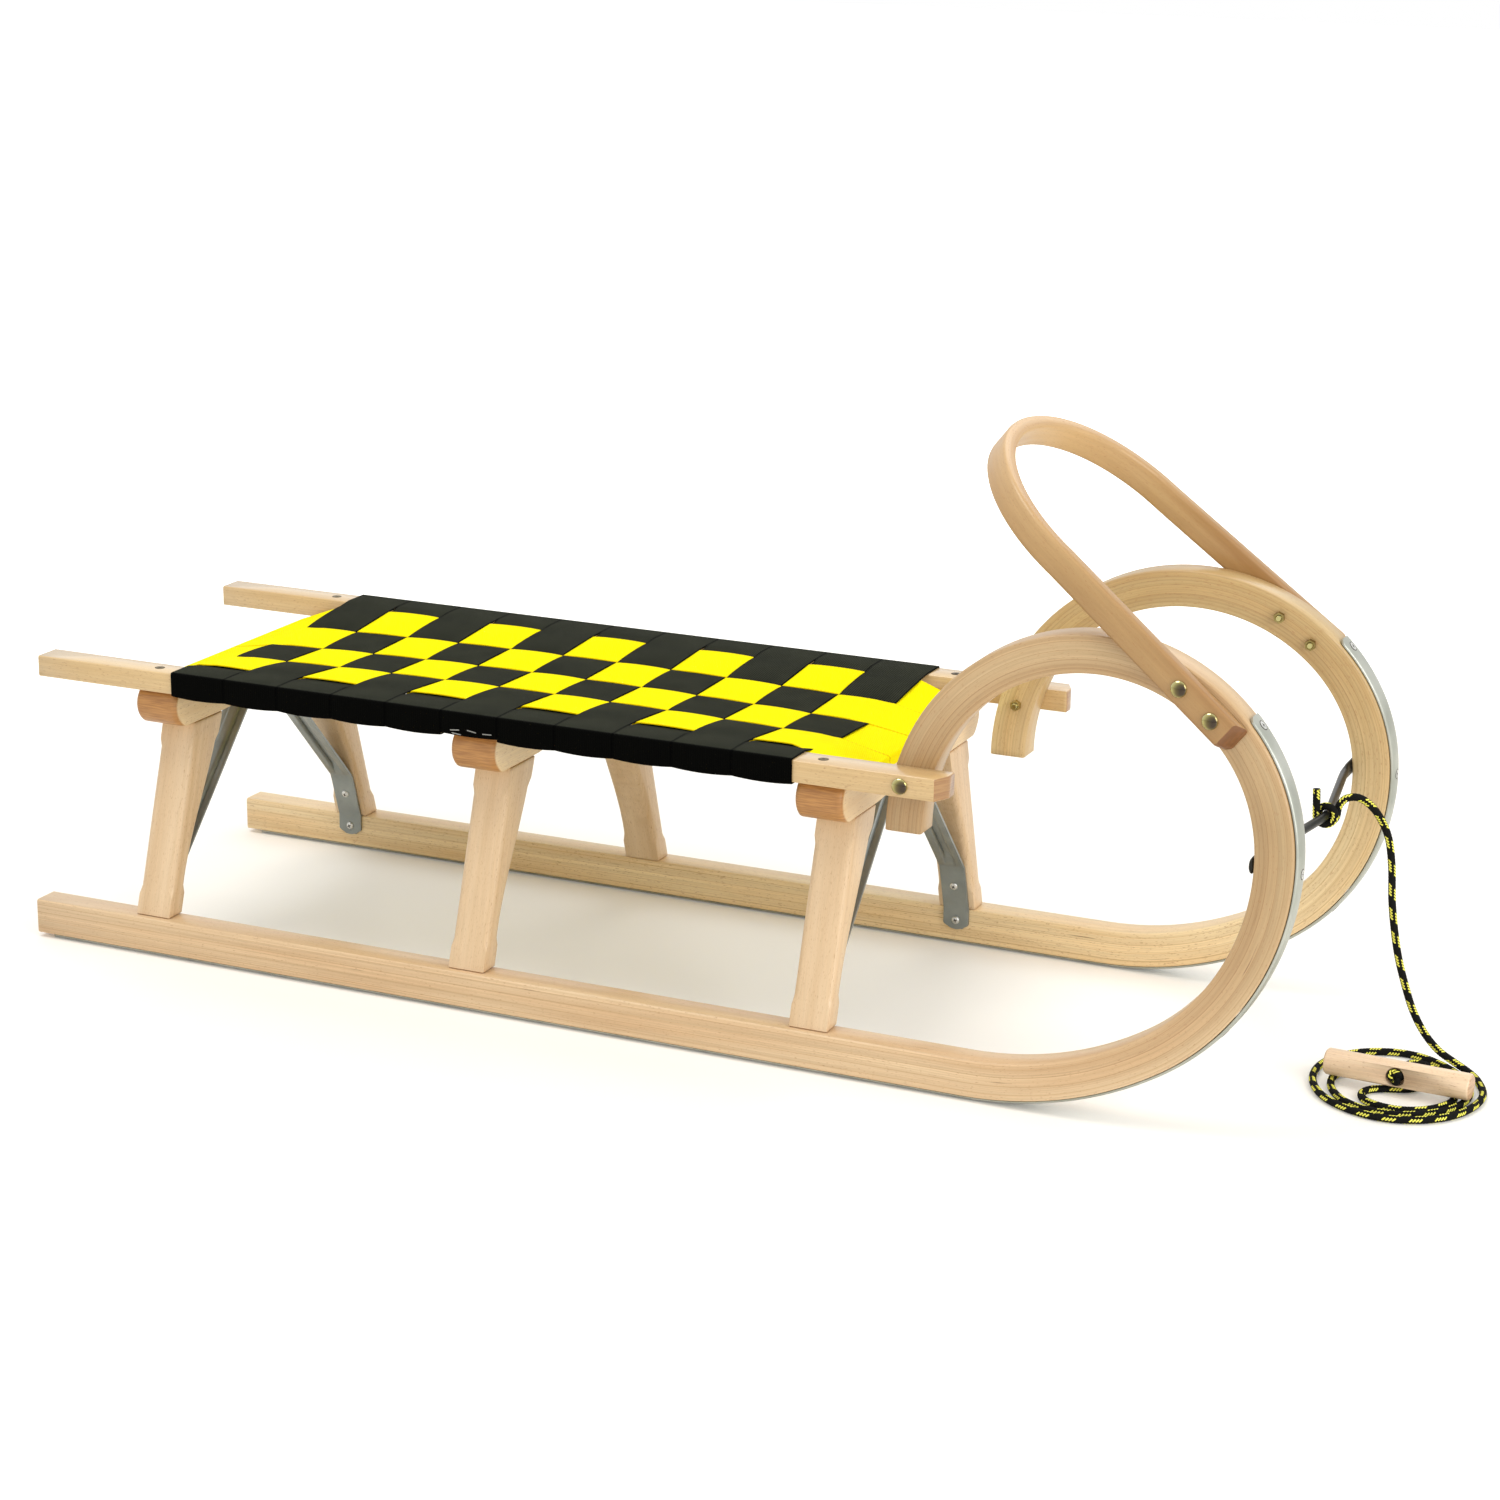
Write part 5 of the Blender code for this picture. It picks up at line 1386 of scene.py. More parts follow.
# %% Seat sizes
CROSS_COUNT = 11
LONG_COUNT = 4
LONG_PITCH = 0.0577
STRAP_THICKNESS = 0.0012
SHEET_THICKNESS = 0.0011
WEAVE_PLAY = 0.0004
WEAVE_BULGE = 0.0013
WEAVE_ROUNDNESS = 0.8             # 1 is a sine arch; less makes a cushion with a flatter top
WEAVE_CROWN = 0.45                # the arch is lower by this share at a strap's edges
WEAVE_PINCH = 0.016               # share of its width that a strap loses where it steps down
WEAVE_STEP = 0.10                 # and how far that reaches, as a share of the crossing
UPPER_SHARE = 0.996               # width of the strap on top, as a share of its pitch
LOWER_SHARE = 0.975
CELL_INSET = 0.012                # a crossing's first row lies this share of it from its start
SEAT_SAG = 0.0065
SEAT_END_DROP = 0.0055
UNDER_RAIL = 0.019
LONG_TAIL = 0.008
BEND_PLAY = 0.0006
SEAT_REAR_X = BEAM_FRONTS[0]
SEAT_FRONT_X = BEAM_FRONTS[2] - BEAM_WIDTH
CROSS_PITCH = (SEAT_FRONT_X - SEAT_REAR_X) / CROSS_COUNT
ROW_EDGES = [(k - LONG_COUNT / 2) * LONG_PITCH for k in range(LONG_COUNT + 1)]
SEAT_TOP_Z = RAIL_TOP_Z + GAP + STRAP_THICKNESS / 2
ACROSS = [-1.0, -0.96, -0.85, -0.6, -0.3, 0.0, 0.3, 0.6, 0.85, 0.96, 1.0]
CELL_STEPS = [0.0, 0.04, 0.1, 0.2, 0.35, 0.5, 0.65, 0.8, 0.9, 0.96, 1.0]


def seat_level(x, y):
    """Middle height of the weave: it hangs between the rails and drops towards both ends."""
    across = [1 - (edge / RAIL_INNER_Y) ** 2 for edge in ROW_EDGES]
    reach = [0, *ROW_EDGES[-2:], RAIL_INNER_Y]
    hang = float(np.interp(abs(y), reach, [1, across[-2], across[-1], 0]))
    middle = (SEAT_REAR_X + SEAT_FRONT_X) / 2
    t = (x - middle) / ((SEAT_FRONT_X - SEAT_REAR_X) / 2)
    return SEAT_TOP_Z - hang * (SEAT_SAG + SEAT_END_DROP * min(t * t, 1.0))


def long_is_up(cross, row):
    """Which strap lies on top in the check: counted from the rear and from the right."""
    return (cross + row) % 2 == 0


def cell_shape(t, across, up):
    """Height off the middle of the weave and half width as a share, at a place in a crossing."""
    arch = math.sin(math.pi * t) ** WEAVE_ROUNDNESS
    crown = 1 - WEAVE_CROWN * across**2
    lift = (STRAP_THICKNESS + WEAVE_PLAY) / 2 + WEAVE_BULGE * arch * crown
    pinch = WEAVE_PINCH * math.exp(-((min(t, 1 - t) / WEAVE_STEP) ** 2))
    return (lift, UPPER_SHARE - pinch) if up else (-lift, LOWER_SHARE)


def place_in_cell(t):
    """Where a row lies in its crossing, 0 to 1."""
    return CELL_INSET + (1 - 2 * CELL_INSET) * t


print("cross strap pitch", round(CROSS_PITCH, 4), "m")

# %% [markdown]
# The webbing itself is ribbed along its length and its yarns slant across the ribs. Both are far
# finer than the sheet's points, so they are relief in the material, sized by the strap's own map:
# one direction along the strap and one across it, in metres. The grooves between them are darker
# in the colour too: painted shade.


# %% Webbing finish
WEBBING_RIBS = 3200.0             # turns of ribs and yarns, in radians per metre
YARN_SLANT = 0.6
EDGE_LOOPS = 1750.0               # turns of the edge's loops, in radians per metre
EDGE_LOOP_DEPTH = 0.0005
# The edge's colour is partly the selvedge's loops and partly painted shadow in the seams between
# straps.
EDGE_SHADE_FROM = 0.0013                # the edge's colour starts this far inside the strap's width
EDGE_SHADE_FULL = 0.0006                # and is full here


def swing(material, distance, turns):
    """A sine wave along a distance."""
    return calculate(material, "SINE", calculate(material, "MULTIPLY", distance, turns))


def webbing(name, pale, deep, groove_shade, half, edge, sides=()):
    """Ribbed polypropylene webbing with a looped edge that has the colour change edge at half its
    width: partly the loops of the selvedge and partly painted shadow in the seams between straps.
    sides are (distance from the middle of the sled, colour change) pairs: painted shade where the
    strap hangs down the rails' outer faces."""
    material, shader = new_finish(name, Roughness=0.75, Specular_IOR_Level=0.03)
    strap_map = add_node(material, "ShaderNodeUVMap", uv_map="strap").outputs[0]
    along = one_axis(material, strap_map, 0)
    across = one_axis(material, strap_map, 1)
    ribs = swing(material, across, WEBBING_RIBS)
    rib = calculate(material, "MULTIPLY_ADD", ribs, 0.5, 0.5)
    slant = calculate(material, "MULTIPLY_ADD", across, YARN_SLANT, along)
    yarns = swing(material, slant, WEBBING_RIBS)
    yarn = calculate(material, "MULTIPLY_ADD", yarns, 0.5, 0.5)
    weave = calculate(material, "MULTIPLY_ADD", yarn, 0.4, calculate(material, "MULTIPLY", rib, 0.6))
    wear = noise(material, strap_map, (25, 25, 1), 3.0)
    colour = ramp(material, wear, ((0.35, tone(*deep)), (0.65, tone(*pale))))
    # Painted shade: the colour is darker in the grooves between ribs and yarns.
    shade_stops = ((0.15, (*groove_shade, 1.0)), (0.7, 1.0))
    colour = times(material, colour, ramp(material, weave, shade_stops))
    off_centre = calculate(material, "ABSOLUTE", across)
    loops = swing(material, along, EDGE_LOOPS)
    looped = calculate(material, "MULTIPLY_ADD", loops, EDGE_LOOP_DEPTH, off_centre)
    # The looped edge: partly real, partly painted shadow in the seams between straps.
    edge_shade_stops = ((half - EDGE_SHADE_FROM, 1.0), (half - EDGE_SHADE_FULL, (*edge, 1.0)))
    colour = times(material, colour, spread(material, looped, edge_shade_stops))
    # Painted shade: the strap is made darker where it hangs down the outer faces of the rails.
    if sides:
        y = one_axis(material, object_place(material), 1)
        off_middle = calculate(material, "ABSOLUTE", y)
        colour = times(material, colour, spread(material, off_middle, sides))
    join(material, colour, shader, "Base Color")
    bump(material, shader, weave, 0.0003)
    return material


# Painted shade on the black straps where they hang down the rails' outer faces.
BLACK_SIDE_SHADE = ((0.1540, 1.0), (0.1562, 0.04))
BLACK_WEBBING = webbing(
    "black_webbing",
    pale=(56, 58, 46),
    deep=(46, 48, 38),
    groove_shade=(0.12, 0.12, 0.10),
    half=CROSS_PITCH / 2,
    edge=(0.15, 0.15, 0.15),
    sides=BLACK_SIDE_SHADE,
)
YELLOW_WEBBING = webbing(
    "yellow_webbing",
    pale=(255, 248, 0),
    deep=(255, 241, 0),
    groove_shade=(0.92, 0.80, 0.2),
    half=LONG_PITCH / 2,
    edge=(0.84, 0.68, 0.20),
)


def strap_piece(name, rows, half, finish, nodes):
    """A strap from rows of points; half is half its width. Its map is the flat strap: (along,
    across) in metres."""
    mesh = sheet_mesh(name, rows)
    travelled = 0.0
    flat = []
    middle = len(ACROSS) // 2
    for before, points in zip([rows[0]] + rows, rows):
        travelled += math.dist(before[middle], points[middle])
        flat += [(travelled, across * half) for across in ACROSS]
    strap_map = mesh.uv_layers.new(name="strap")
    for loop in mesh.loops:
        strap_map.data[loop.index].uv = flat[loop.vertex_index]
    mesh.shade_smooth()
    strap = add_object(name, mesh)
    thickened(strap, SHEET_THICKNESS, 0.0003)
    return show(strap, finish, nodes)


def corner_points(centre, radius, first, last, steps):
    """Points round a corner, angles in degrees."""
    angles = [math.radians(first + (last - first) * k / steps) for k in range(steps + 1)]
    return [(centre[0] + radius * math.cos(a), centre[1] + radius * math.sin(a)) for a in angles]


# %% Black cross straps
off = GAP + STRAP_THICKNESS / 2   # from the wood to the strap's middle
bend = off + BEND_PLAY            # the radius of its bend round an edge
BELLY = 0.0014                    # under the rail a strap hangs down this much in its middle
BELLY_REACH = 0.003
BELLY_ZONE = 0.004                # only this close to the rail's outer face
FLAP_SHARE = 0.998                # width of a strap beside the weave, as a share of its pitch


def flap_point(middle_x, half, across, y, z):
    """A point of a strap's end, which bellies out a little where it goes under the rail."""
    low = share_between(0, BELLY_REACH, RAIL_BOTTOM_Z + BELLY_REACH - z)
    outside = abs(y) > RAIL_OUTER_Y - BELLY_ZONE
    drop = BELLY * low * (1 - across**2) if outside else 0.0
    return (middle_x + half * FLAP_SHARE * across, y, z - drop)


def rail_wrap(number):
    """Side view of a strap's end: under the rail or ending on its outer face, then over its top."""
    corner_y = RAIL_OUTER_Y + off - bend
    first_x = SEAT_REAR_X + number * CROSS_PITCH
    over_beam = any(
        first_x < front and first_x + CROSS_PITCH > front - BEAM_WIDTH for front in BEAM_FRONTS
    )
    if over_beam:
        wrap = [(RAIL_OUTER_Y + off, RAIL_BOTTOM_Z + 0.001)]
    else:
        wrap = [(RAIL_OUTER_Y - UNDER_RAIL, RAIL_BOTTOM_Z - off)]
        wrap += corner_points((corner_y, RAIL_BOTTOM_Z - off + bend), bend, -90, 0, 5)
    wrap.append((RAIL_OUTER_Y + off, (RAIL_BOTTOM_Z + RAIL_TOP_Z) / 2))
    wrap += corner_points((corner_y, RAIL_TOP_Z + off - bend), bend, 0, 90, 5)
    wrap.append((RAIL_INNER_Y + 0.012, RAIL_TOP_Z + off))
    wrap.append((RAIL_INNER_Y + 0.001, RAIL_TOP_Z + off))
    return wrap


for number in range(CROSS_COUNT):
    middle_x = SEAT_REAR_X + (number + 0.5) * CROSS_PITCH
    half = CROSS_PITCH / 2
    woven = []
    for row in range(LONG_COUNT):
        up = not long_is_up(number, row)
        for t in CELL_STEPS:
            y = ROW_EDGES[row] + LONG_PITCH * place_in_cell(t)
            points = []
            for across in ACROSS:
                lift, share = cell_shape(t, across, up)
                x = middle_x + half * share * across
                points.append((x, y, seat_level(x, y) + lift))
            woven.append(points)
    wrap = rail_wrap(number)
    flaps = []
    for side, line in ((-1, wrap), (1, wrap[::-1])):
        flap = [[flap_point(middle_x, half, c, side * y, z) for c in ACROSS] for y, z in line]
        flaps.append(flap)
    rows = flaps[0] + woven + flaps[1]
    name = "cross_strap_%02d" % (number + 1)
    strap_piece("woven_" + name, rows, half, BLACK_WEBBING, [name])
print("black straps:", CROSS_COUNT, "rows in each:", len(rows))

# %% Yellow long straps
FAN_WIDTH = 0.008                 # the right strap's edge fans out to its rail at the front
FAN_DROP = 0.0015
FAN_LENGTH = 0.016
TAIL_SHARE = 0.996                # widths as shares of the pitch: on the beams' faces,
CLOSED_SHARE = 1.012              # at the weave's end, where neighbours touch,
END_SHARE = 1.018                 # and just past it
CLOSING = 0.25                    # share of the last crossing over which a strap flattens
CLOSING_START = 0.65

tail = [(off, BEAM_TOP_Z - LONG_TAIL), (off, BEAM_TOP_Z - LONG_TAIL / 2)]
tail += corner_points((off - bend, BEAM_TOP_Z + off - bend), bend, 0, 78, 5)


def tail_rows(end_x, direction, middle_y, half):
    """The rows of a strap's tail, from its tip up to the beam's top."""
    edges = [middle_y + half * TAIL_SHARE * across for across in ACROSS]
    return [[(end_x + direction * u, y, z) for y in edges] for u, z in tail]


def fan_out(across, amount, near):
    """How far the near edge fans out, 0 to 1; near is 1 for the rightmost strap, else 0."""
    return amount * max(-across, 0.0) ** 2 * near


for row in range(LONG_COUNT):
    middle_y = (ROW_EDGES[row] + ROW_EDGES[row + 1]) / 2
    half = LONG_PITCH / 2
    near = 1.0 if row == 0 else 0.0
    rows = tail_rows(BEAM_FRONTS[0] - BEAM_WIDTH, -1, middle_y, half)
    for number in range(CROSS_COUNT):
        up = long_is_up(number, row)
        for t in CELL_STEPS:
            x = SEAT_REAR_X + CROSS_PITCH * (number + place_in_cell(t))
            towards_end = {0: 1 - t, CROSS_COUNT - 1: t}.get(number, 0.0)
            closing = ease((towards_end - CLOSING_START) / CLOSING)
            fan_amount = ease((x - SEAT_FRONT_X) / FAN_LENGTH + 1)
            points = []
            for across in ACROSS:
                lift, share = cell_shape(t, across, up)
                y = middle_y + half * (share + (CLOSED_SHARE - share) * closing) * across
                z = seat_level(x, y) + lift * (1 - 0.5 * closing)
                fan = fan_out(across, fan_amount, near)
                points.append((x, y - FAN_WIDTH * fan, z - FAN_DROP * fan))
            rows.append(points)
    weave_end = rows[-1]
    for t in (0.25, 0.6):
        x = SEAT_FRONT_X + t * BEAM_WIDTH
        share = END_SHARE + (TAIL_SHARE - END_SHARE) * t
        points = []
        for across, (_, _, level) in zip(ACROSS, weave_end):
            y = middle_y + half * share * across - FAN_WIDTH * fan_out(across, 1 - t, near)
            points.append((x, y, level + (BEAM_TOP_Z + off - level) * t))
        rows.append(points)
    rows += tail_rows(BEAM_FRONTS[2], 1, middle_y, half)[::-1]
    name = "long_strap_%d" % (row + 1)
    strap_piece("woven_" + name, rows, half, YELLOW_WEBBING, [name])
print("yellow straps:", LONG_COUNT, "rows in each:", len(rows))

# %% [markdown]
# ## Screws, bolts and staples
# Carriage bolts have smooth domed heads of yellow plated steel. The small screws have a cross in the
# head. Each kind of screw is made once, its cross is cut with a Boolean, and then the mesh is copied
# to every place in one piece per kind.

# %% Carriage bolts
def domed_zinc():
    """Polished yellow zinc. A studio that is white all round leaves a mirror without contrast, so
    the dark side of a room is painted on the dome where the point attribute mirrored is high."""
    material, shader = new_finish("domed_zinc", Metallic=1.0, Coat_Weight=1.0, Coat_Roughness=0.04)
    mirrored = attribute(material, "mirrored", "Fac")
    stops = (
        (0.45, tone(196, 190, 136)),
        (0.72, tone(176, 166, 98)),
        (0.88, tone(98, 84, 40)),
        (0.97, tone(58, 42, 20)),
    )
    join(material, ramp(material, mirrored, stops), shader, "Base Color")
    dull = noise(material, object_place(material), (400, 400, 400), 2.0)
    join(material, ramp(material, dull, ((0.3, 0.05), (0.7, 0.14))), shader, "Roughness")
    return material


DOMED_ZINC = domed_zinc()
BOLT_RADIUS = 0.0025
BOLT_HEAD_RADIUS = 0.0065
BOLT_HEAD_HEIGHT = 0.0034
BOLT_RIM = 0.0004
BOLT_RIM_EDGE = 0.0002
DARK_ROOM_SIDE = Vector((0.45, 0, -0.1))
NUT_HEIGHT = 0.004
BOLT_TIP = 0.002
TIP_NARROWING = 0.0006
TIP_CHAMFER = 0.0008
DARK_RIM = 0.25                   # the dome is dark up to this share of its height
SHANK_TONE = 0.6
RAIL_BOLT_X = 0.2405
BOW_BOLTS = (0.0182, 0.0509)
BOW_GRIP_PLAY = 0.0008


def carriage_bolt(name, seat, axis, grip):
    """A domed head at a point and a round shank with a slightly pointed tip behind its nut."""
    reach = grip + 2 * GAP + NUT_HEIGHT + BOLT_TIP
    profile = [(0, -reach), (BOLT_RADIUS - TIP_NARROWING, -reach)]
    profile += [(BOLT_RADIUS, -reach + TIP_CHAMFER), (BOLT_RADIUS, 0)]
    profile += [(BOLT_HEAD_RADIUS - BOLT_RIM_EDGE, 0), (BOLT_HEAD_RADIUS, BOLT_RIM_EDGE)]
    for k in range(13):
        angle = math.radians(90 * k / 12)
        radius = BOLT_HEAD_RADIUS * math.cos(angle) if k < 12 else 0.0
        profile.append((radius, BOLT_RIM + (BOLT_HEAD_HEIGHT - BOLT_RIM) * math.sin(angle)))
    away = -axis
    mesh = turned("domed_bolt_" + name, profile, 40, facing(seat + away * GAP, away))
    dark_side = (away + DARK_ROOM_SIDE).normalized()
    mirrored = []
    for vertex in mesh.vertices:
        height = (vertex.co - seat).dot(away) / BOLT_HEAD_HEIGHT
        rim = max(1 - max(height, 0.0) / DARK_RIM, 0.0)
        mirrored.append(max(vertex.normal.dot(dark_side), rim) if height > 0 else SHANK_TONE)
    paint(mesh, "mirrored", "POINT", mirrored)
    bolt = add_object("domed_bolt_" + name, mesh)
    show(bolt, DOMED_ZINC, ["bolt_" + name])
    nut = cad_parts["nut_" + name]
    nut.data.materials.clear()
    nut.data.materials.append(YELLOW_ZINC)


for side_name, side in SIDES.items():
    rail_seat = Vector((RAIL_BOLT_X, side * RAIL_OUTER_Y, (RAIL_TOP_Z + RAIL_BOTTOM_Z) / 2))
    rail_grip = RAIL_WIDTH + GAP + RUNNER_WIDTH
    carriage_bolt("rail_" + side_name, rail_seat, Vector((0, -side, 0)), rail_grip)
    outward = Vector((0, side * math.cos(ARM_TILT), 0)) + BOW_UP * math.sin(ARM_TILT)
    for label, along in zip(("lower", "upper"), BOW_BOLTS):
        y = bow_half_span - BOW_ARM_SLOPE * along
        centre = BOW_FOOT + BOW_UP * along + Vector((0, side * y, 0))
        seat = centre + outward * BOW_THICKNESS / 2
        inner_face = horn_outer_y(nearest_distance(centre.x, centre.z)) - RUNNER_WIDTH
        grip = (abs(seat.y) - inner_face) / math.cos(ARM_TILT) + BOW_GRIP_PLAY
        carriage_bolt("bow_" + label + "_" + side_name, seat, -outward, grip)
print("bolts: 6")


# %% Small screws
CROSS_DEPTH = 0.0011


def cross_cutter(reach, width, top, depth):
    """A plus sign as a solid, to press the driver's cross into a screw's head."""
    work = bmesh.new()
    half = width / 2
    quarter = [(reach, half), (half, half), (half, reach)]
    outline = []
    for _ in range(4):
        outline += quarter
        quarter = [(-y, x) for x, y in quarter]
    low = [work.verts.new((x * 0.5, y * 0.5, top - depth)) for x, y in outline]
    high = [work.verts.new((x, y, top + 0.001)) for x, y in outline]
    work.faces.new(low)
    work.faces.new(high)
    for k in range(len(outline)):
        after = (k + 1) % len(outline)
        work.faces.new((low[k], low[after], high[after], high[k]))
    bmesh.ops.recalc_face_normals(work, faces=work.faces)
    for face in work.faces:
        face.material_index = 1
    return built_mesh("cross", work)


def screw_mesh(profile, cross_reach, cross_width, top):
    """A screw's head with its cross; top is the height of the head."""
    screw = add_object("screw", turned("screw", profile, 28, Matrix.Identity(4)))
    screw.data.materials.append(SCREW_STEEL)
    screw.data.materials.append(HOLLOW_SHADE)
    # The cross's faces take the dark second finish: painted shade in the recess.
    cut(screw, cross_cutter(cross_reach, cross_width, top, CROSS_DEPTH))
    mesh = screw.data
    bpy.data.objects.remove(screw)
    return mesh


def place_all(name, mesh, spots, finish):
    """One piece with a copy of the mesh at every spot: (centre, outward direction, turn)."""
    work = bmesh.new()
    for centre, outward, turn in spots:
        copy = mesh.copy()
        copy.transform(facing(centre, outward) @ Matrix.Rotation(turn, 4, "Z"))
        work.from_mesh(copy)
        bpy.data.meshes.remove(copy)
    joined = built_mesh(name, work)
    shade(joined, 35)
    kinds = [face.material_index for face in joined.polygons]
    piece = show(add_object(name, joined), finish, [])
    if any(kinds):
        joined.materials.append(HOLLOW_SHADE)
        joined.polygons.foreach_set("material_index", kinds)
    return piece


PAN_PROFILE = [
    (0, -0.0008), (0.0033, -0.0008), (0.0036, 0.0003), (0.0034, 0.0010), (0.0027, 0.0016),
    (0.0015, 0.0020), (0, 0.0021),
]
FLAT_PROFILE = [
    (0, -0.0010), (0.0020, -0.0010), (0.0036, 0.0000), (0.0036, 0.0002), (0.0030, 0.0003),
    (0, 0.0003),
]
pan_screw = screw_mesh(PAN_PROFILE, cross_reach=0.0022, cross_width=0.0011, top=0.0021)
flat_screw = screw_mesh(FLAT_PROFILE, cross_reach=0.0022, cross_width=0.0010, top=0.0003)

brace_face_y = RUNNER_OUTER_Y - RUNNER_WIDTH - GAP - BRACE_THICKNESS
lower_screw_z = 0.0234
upper_screw_z = 0.0565
lean_in = math.atan2(LEG_FOOT_OUTER_Y - LEG_TOP_OUTER_Y, LEG_TOP_Z - LEG_FOOT_Z)
spots = []
for front_x in (BEAM_FRONTS[0], BEAM_FRONTS[2]):
    for side in SIDES.values():
        x = front_x - LEG_WIDTH / 2
        upper_y = leg_inner_y(upper_screw_z) - GAP - BRACE_THICKNESS
        spots.append((Vector((x, side * brace_face_y, lower_screw_z)), Vector((0, -side, 0)), 0.4))
        tilted = Vector((0, -side * math.cos(lean_in), -math.sin(lean_in)))
        spots.append((Vector((x, side * upper_y, upper_screw_z)), tilted, 1.1))
place_all("brace_screws", pan_screw, spots, SCREW_STEEL)
print("brace screws:", len(spots))

# %% Screws in the shoes and rails
SHOE_SCREWS = (0.4295, 0.3290, 0.2050, 0.1150)     # distances along the curl
SHOE_SCREW_LEVEL = SHOE_FACE + SHOE_THICKNESS - 0.0001
spots = []
for side in SIDES.values():
    for number, distance in enumerate(SHOE_SCREWS):
        angle = runner_point(distance)[2]
        outward = Vector((math.sin(angle), 0, -math.cos(angle)))
        centre = on_runner(distance, side, RUNNER_WIDTH / 2, SHOE_SCREW_LEVEL)
        spots.append((centre, outward, 0.3 + number))
shoe_screw_spots = spots
place_all("shoe_screws", flat_screw, shoe_screw_spots, SCREW_STEEL)

# The countersinks are not cut into the wood: a thin dark ring under each flat screw head stands for
# their shade, as painted shade.
SHADE_RING_PROFILE = [
    (0, -0.0004), (SCREW_HOLLOW, -0.0004), (SCREW_HOLLOW, 0.0001), (0.0030, 0.00015), (0, 0.00015),
]
shade_ring = turned("hollow", SHADE_RING_PROFILE, 28, Matrix.Identity(4))
screw_y = (RAIL_OUTER_Y + RAIL_INNER_Y) / 2
up = Vector((0, 0, 1))
spots = []
for side in SIDES.values():
    spots += [(Vector((x, side * screw_y, RAIL_TOP_Z)), up, 0.7) for x in RAIL_SCREW_XS]
place_all("rail_screw_shade_rings", shade_ring, spots, HOLLOW_SHADE)
place_all("rail_screws", flat_screw, spots, DULL_SCREW)
place_all("shoe_screw_shade_rings", shade_ring, shoe_screw_spots, HOLLOW_SHADE)
print("rail and shoe screws:", 4 + len(shoe_screw_spots))

# %% Staples
STAPLE_LENGTH = 0.0085
STAPLE_WIRE = 0.0009
STAPLE_LIFT = 0.0002              # how far its middle stands off the strap
STAPLE_PLACES = (                 # x, z and turn, as they show on the strap over the middle beam
    (-0.1440, 0.2320, 0.1), (-0.1285, 0.2325, -0.15), (-0.1145, 0.2318, 0.05),
    (-0.1425, 0.2290, -0.1),
)


def staple_mesh():
    """A staple's back as it shows: a short flat wire bent in at both ends."""
    work = bmesh.new()
    bmesh.ops.create_cube(work, size=1.0)
    bmesh.ops.scale(work, vec=(STAPLE_LENGTH, STAPLE_WIRE, STAPLE_WIRE * 0.7), verts=work.verts)
    bmesh.ops.bevel(
        work, geom=work.edges[:], offset=STAPLE_WIRE * 0.2, segments=2, affect="EDGES"
    )
    return built_mesh("staple", work)


spots = []
staple_y = RAIL_OUTER_Y + GAP + STRAP_THICKNESS + STAPLE_LIFT
for side in SIDES.values():
    for x, z, turn in STAPLE_PLACES:
        spots.append((Vector((x, side * staple_y, z)), Vector((0, side, 0)), turn))
place_all("staples", staple_mesh(), spots, STAPLE_STEEL)
print("staples:", len(spots))

# %% [markdown]
# ## Studio
# The picture has a white floor and background and soft light. The background is white only for the
# camera and for mirrors, so it adds no light to the sled. The floor keeps the sled's soft shadow.

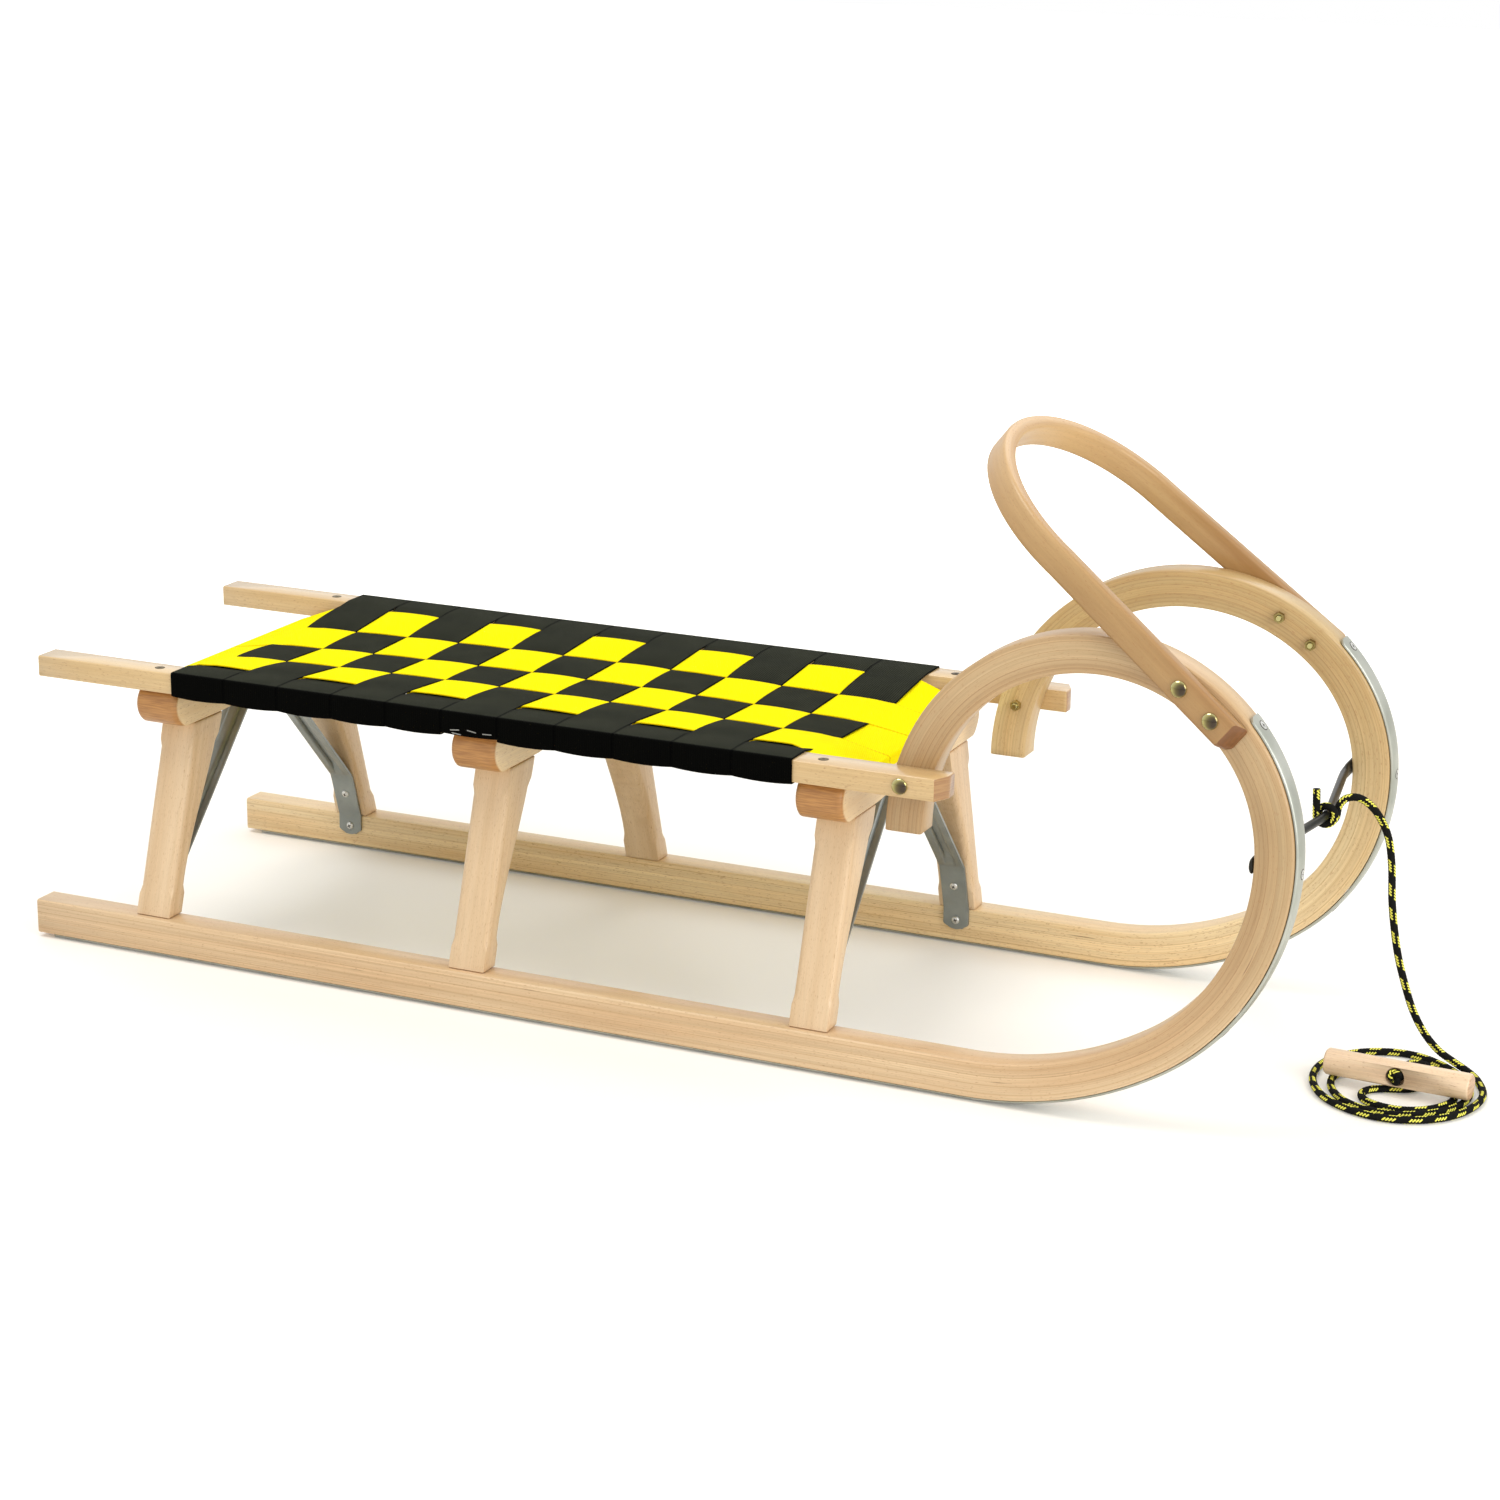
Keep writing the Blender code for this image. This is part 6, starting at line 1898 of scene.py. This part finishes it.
# %% Floor
FLOOR_REACH = 12.0
FLOOR_GLOW = ((0.7, 0.13), (2.2, 1.0))        # (distance from the middle, glow) pairs
corners = [(x * FLOOR_REACH, y * FLOOR_REACH, 0) for x, y in ((-1, -1), (1, -1), (1, 1), (-1, 1))]
floor = add_object("floor", new_mesh("floor", corners, [(0, 1, 2, 3)]))
floor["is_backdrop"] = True
floor_paint, floor_shader = new_finish("floor_white", Roughness=0.6)
floor_shader.inputs["Base Color"].default_value = (0.90, 0.878, 0.82, 1.0)
floor_shader.inputs["Emission Color"].default_value = (1.0, 0.99, 0.97, 1.0)
seen = add_node(floor_paint, "ShaderNodeLightPath").outputs["Is Camera Ray"]
spot = ((0, object_place(floor_paint)),)
from_middle = add_node(floor_paint, "ShaderNodeVectorMath", spot, operation="LENGTH")
glow = spread(floor_paint, from_middle.outputs["Value"], FLOOR_GLOW)
seen_glow = calculate(floor_paint, "MULTIPLY", seen, glow)
join(floor_paint, seen_glow, floor_shader, "Emission Strength")
floor.data.materials.append(floor_paint)
print("floor:", 2 * FLOOR_REACH, "m wide")

# %% Light
WORLD_LIGHT = 0.76
world = bpy.data.worlds.new("studio")
bpy.context.scene.world = world
world.use_nodes = True
background = world.node_tree.nodes["Background"]
background.inputs["Color"].default_value = (1.0, 1.0, 1.0, 1.0)
path = add_node(world, "ShaderNodeLightPath").outputs
seen_directly = calculate(world, "MAXIMUM", path["Is Camera Ray"], path["Is Glossy Ray"])
also_through = calculate(world, "MAXIMUM", seen_directly, path["Is Transmission Ray"])
sockets = (("Value", also_through), ("To Min", WORLD_LIGHT), ("To Max", 1.0))
strength = add_node(world, "ShaderNodeMapRange", sockets).outputs[0]
join(world, strength, background, "Strength")

LAMPS = (
    ("key", (-0.9, -0.7, 3.0), 1.8, 36.0),
    ("front", (2.4, -0.9, 1.2), 1.6, 29.0),
    ("back", (0.2, 2.4, 2.2), 1.8, 12.0),
)
aim = Vector((0.0, 0.0, 0.15))
for name, place, size, power in LAMPS:
    lamp = bpy.data.lights.new(name, "AREA")
    lamp.shape = "DISK"
    lamp.size = size
    lamp.energy = power
    holder = add_object(name, lamp)
    holder.location = place
    holder.rotation_mode = "QUATERNION"
    holder.rotation_quaternion = (aim - Vector(place)).to_track_quat("-Z", "Y")
bpy.context.scene.view_settings.view_transform = "Standard"
print("lamps:", len(LAMPS))

# %% [markdown]
# ## Finish
# The size of the dressed sled is printed.

# %% The dressed sled's size
low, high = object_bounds()
print("dressed", [round(v, 4) for v in (*low, *high)])
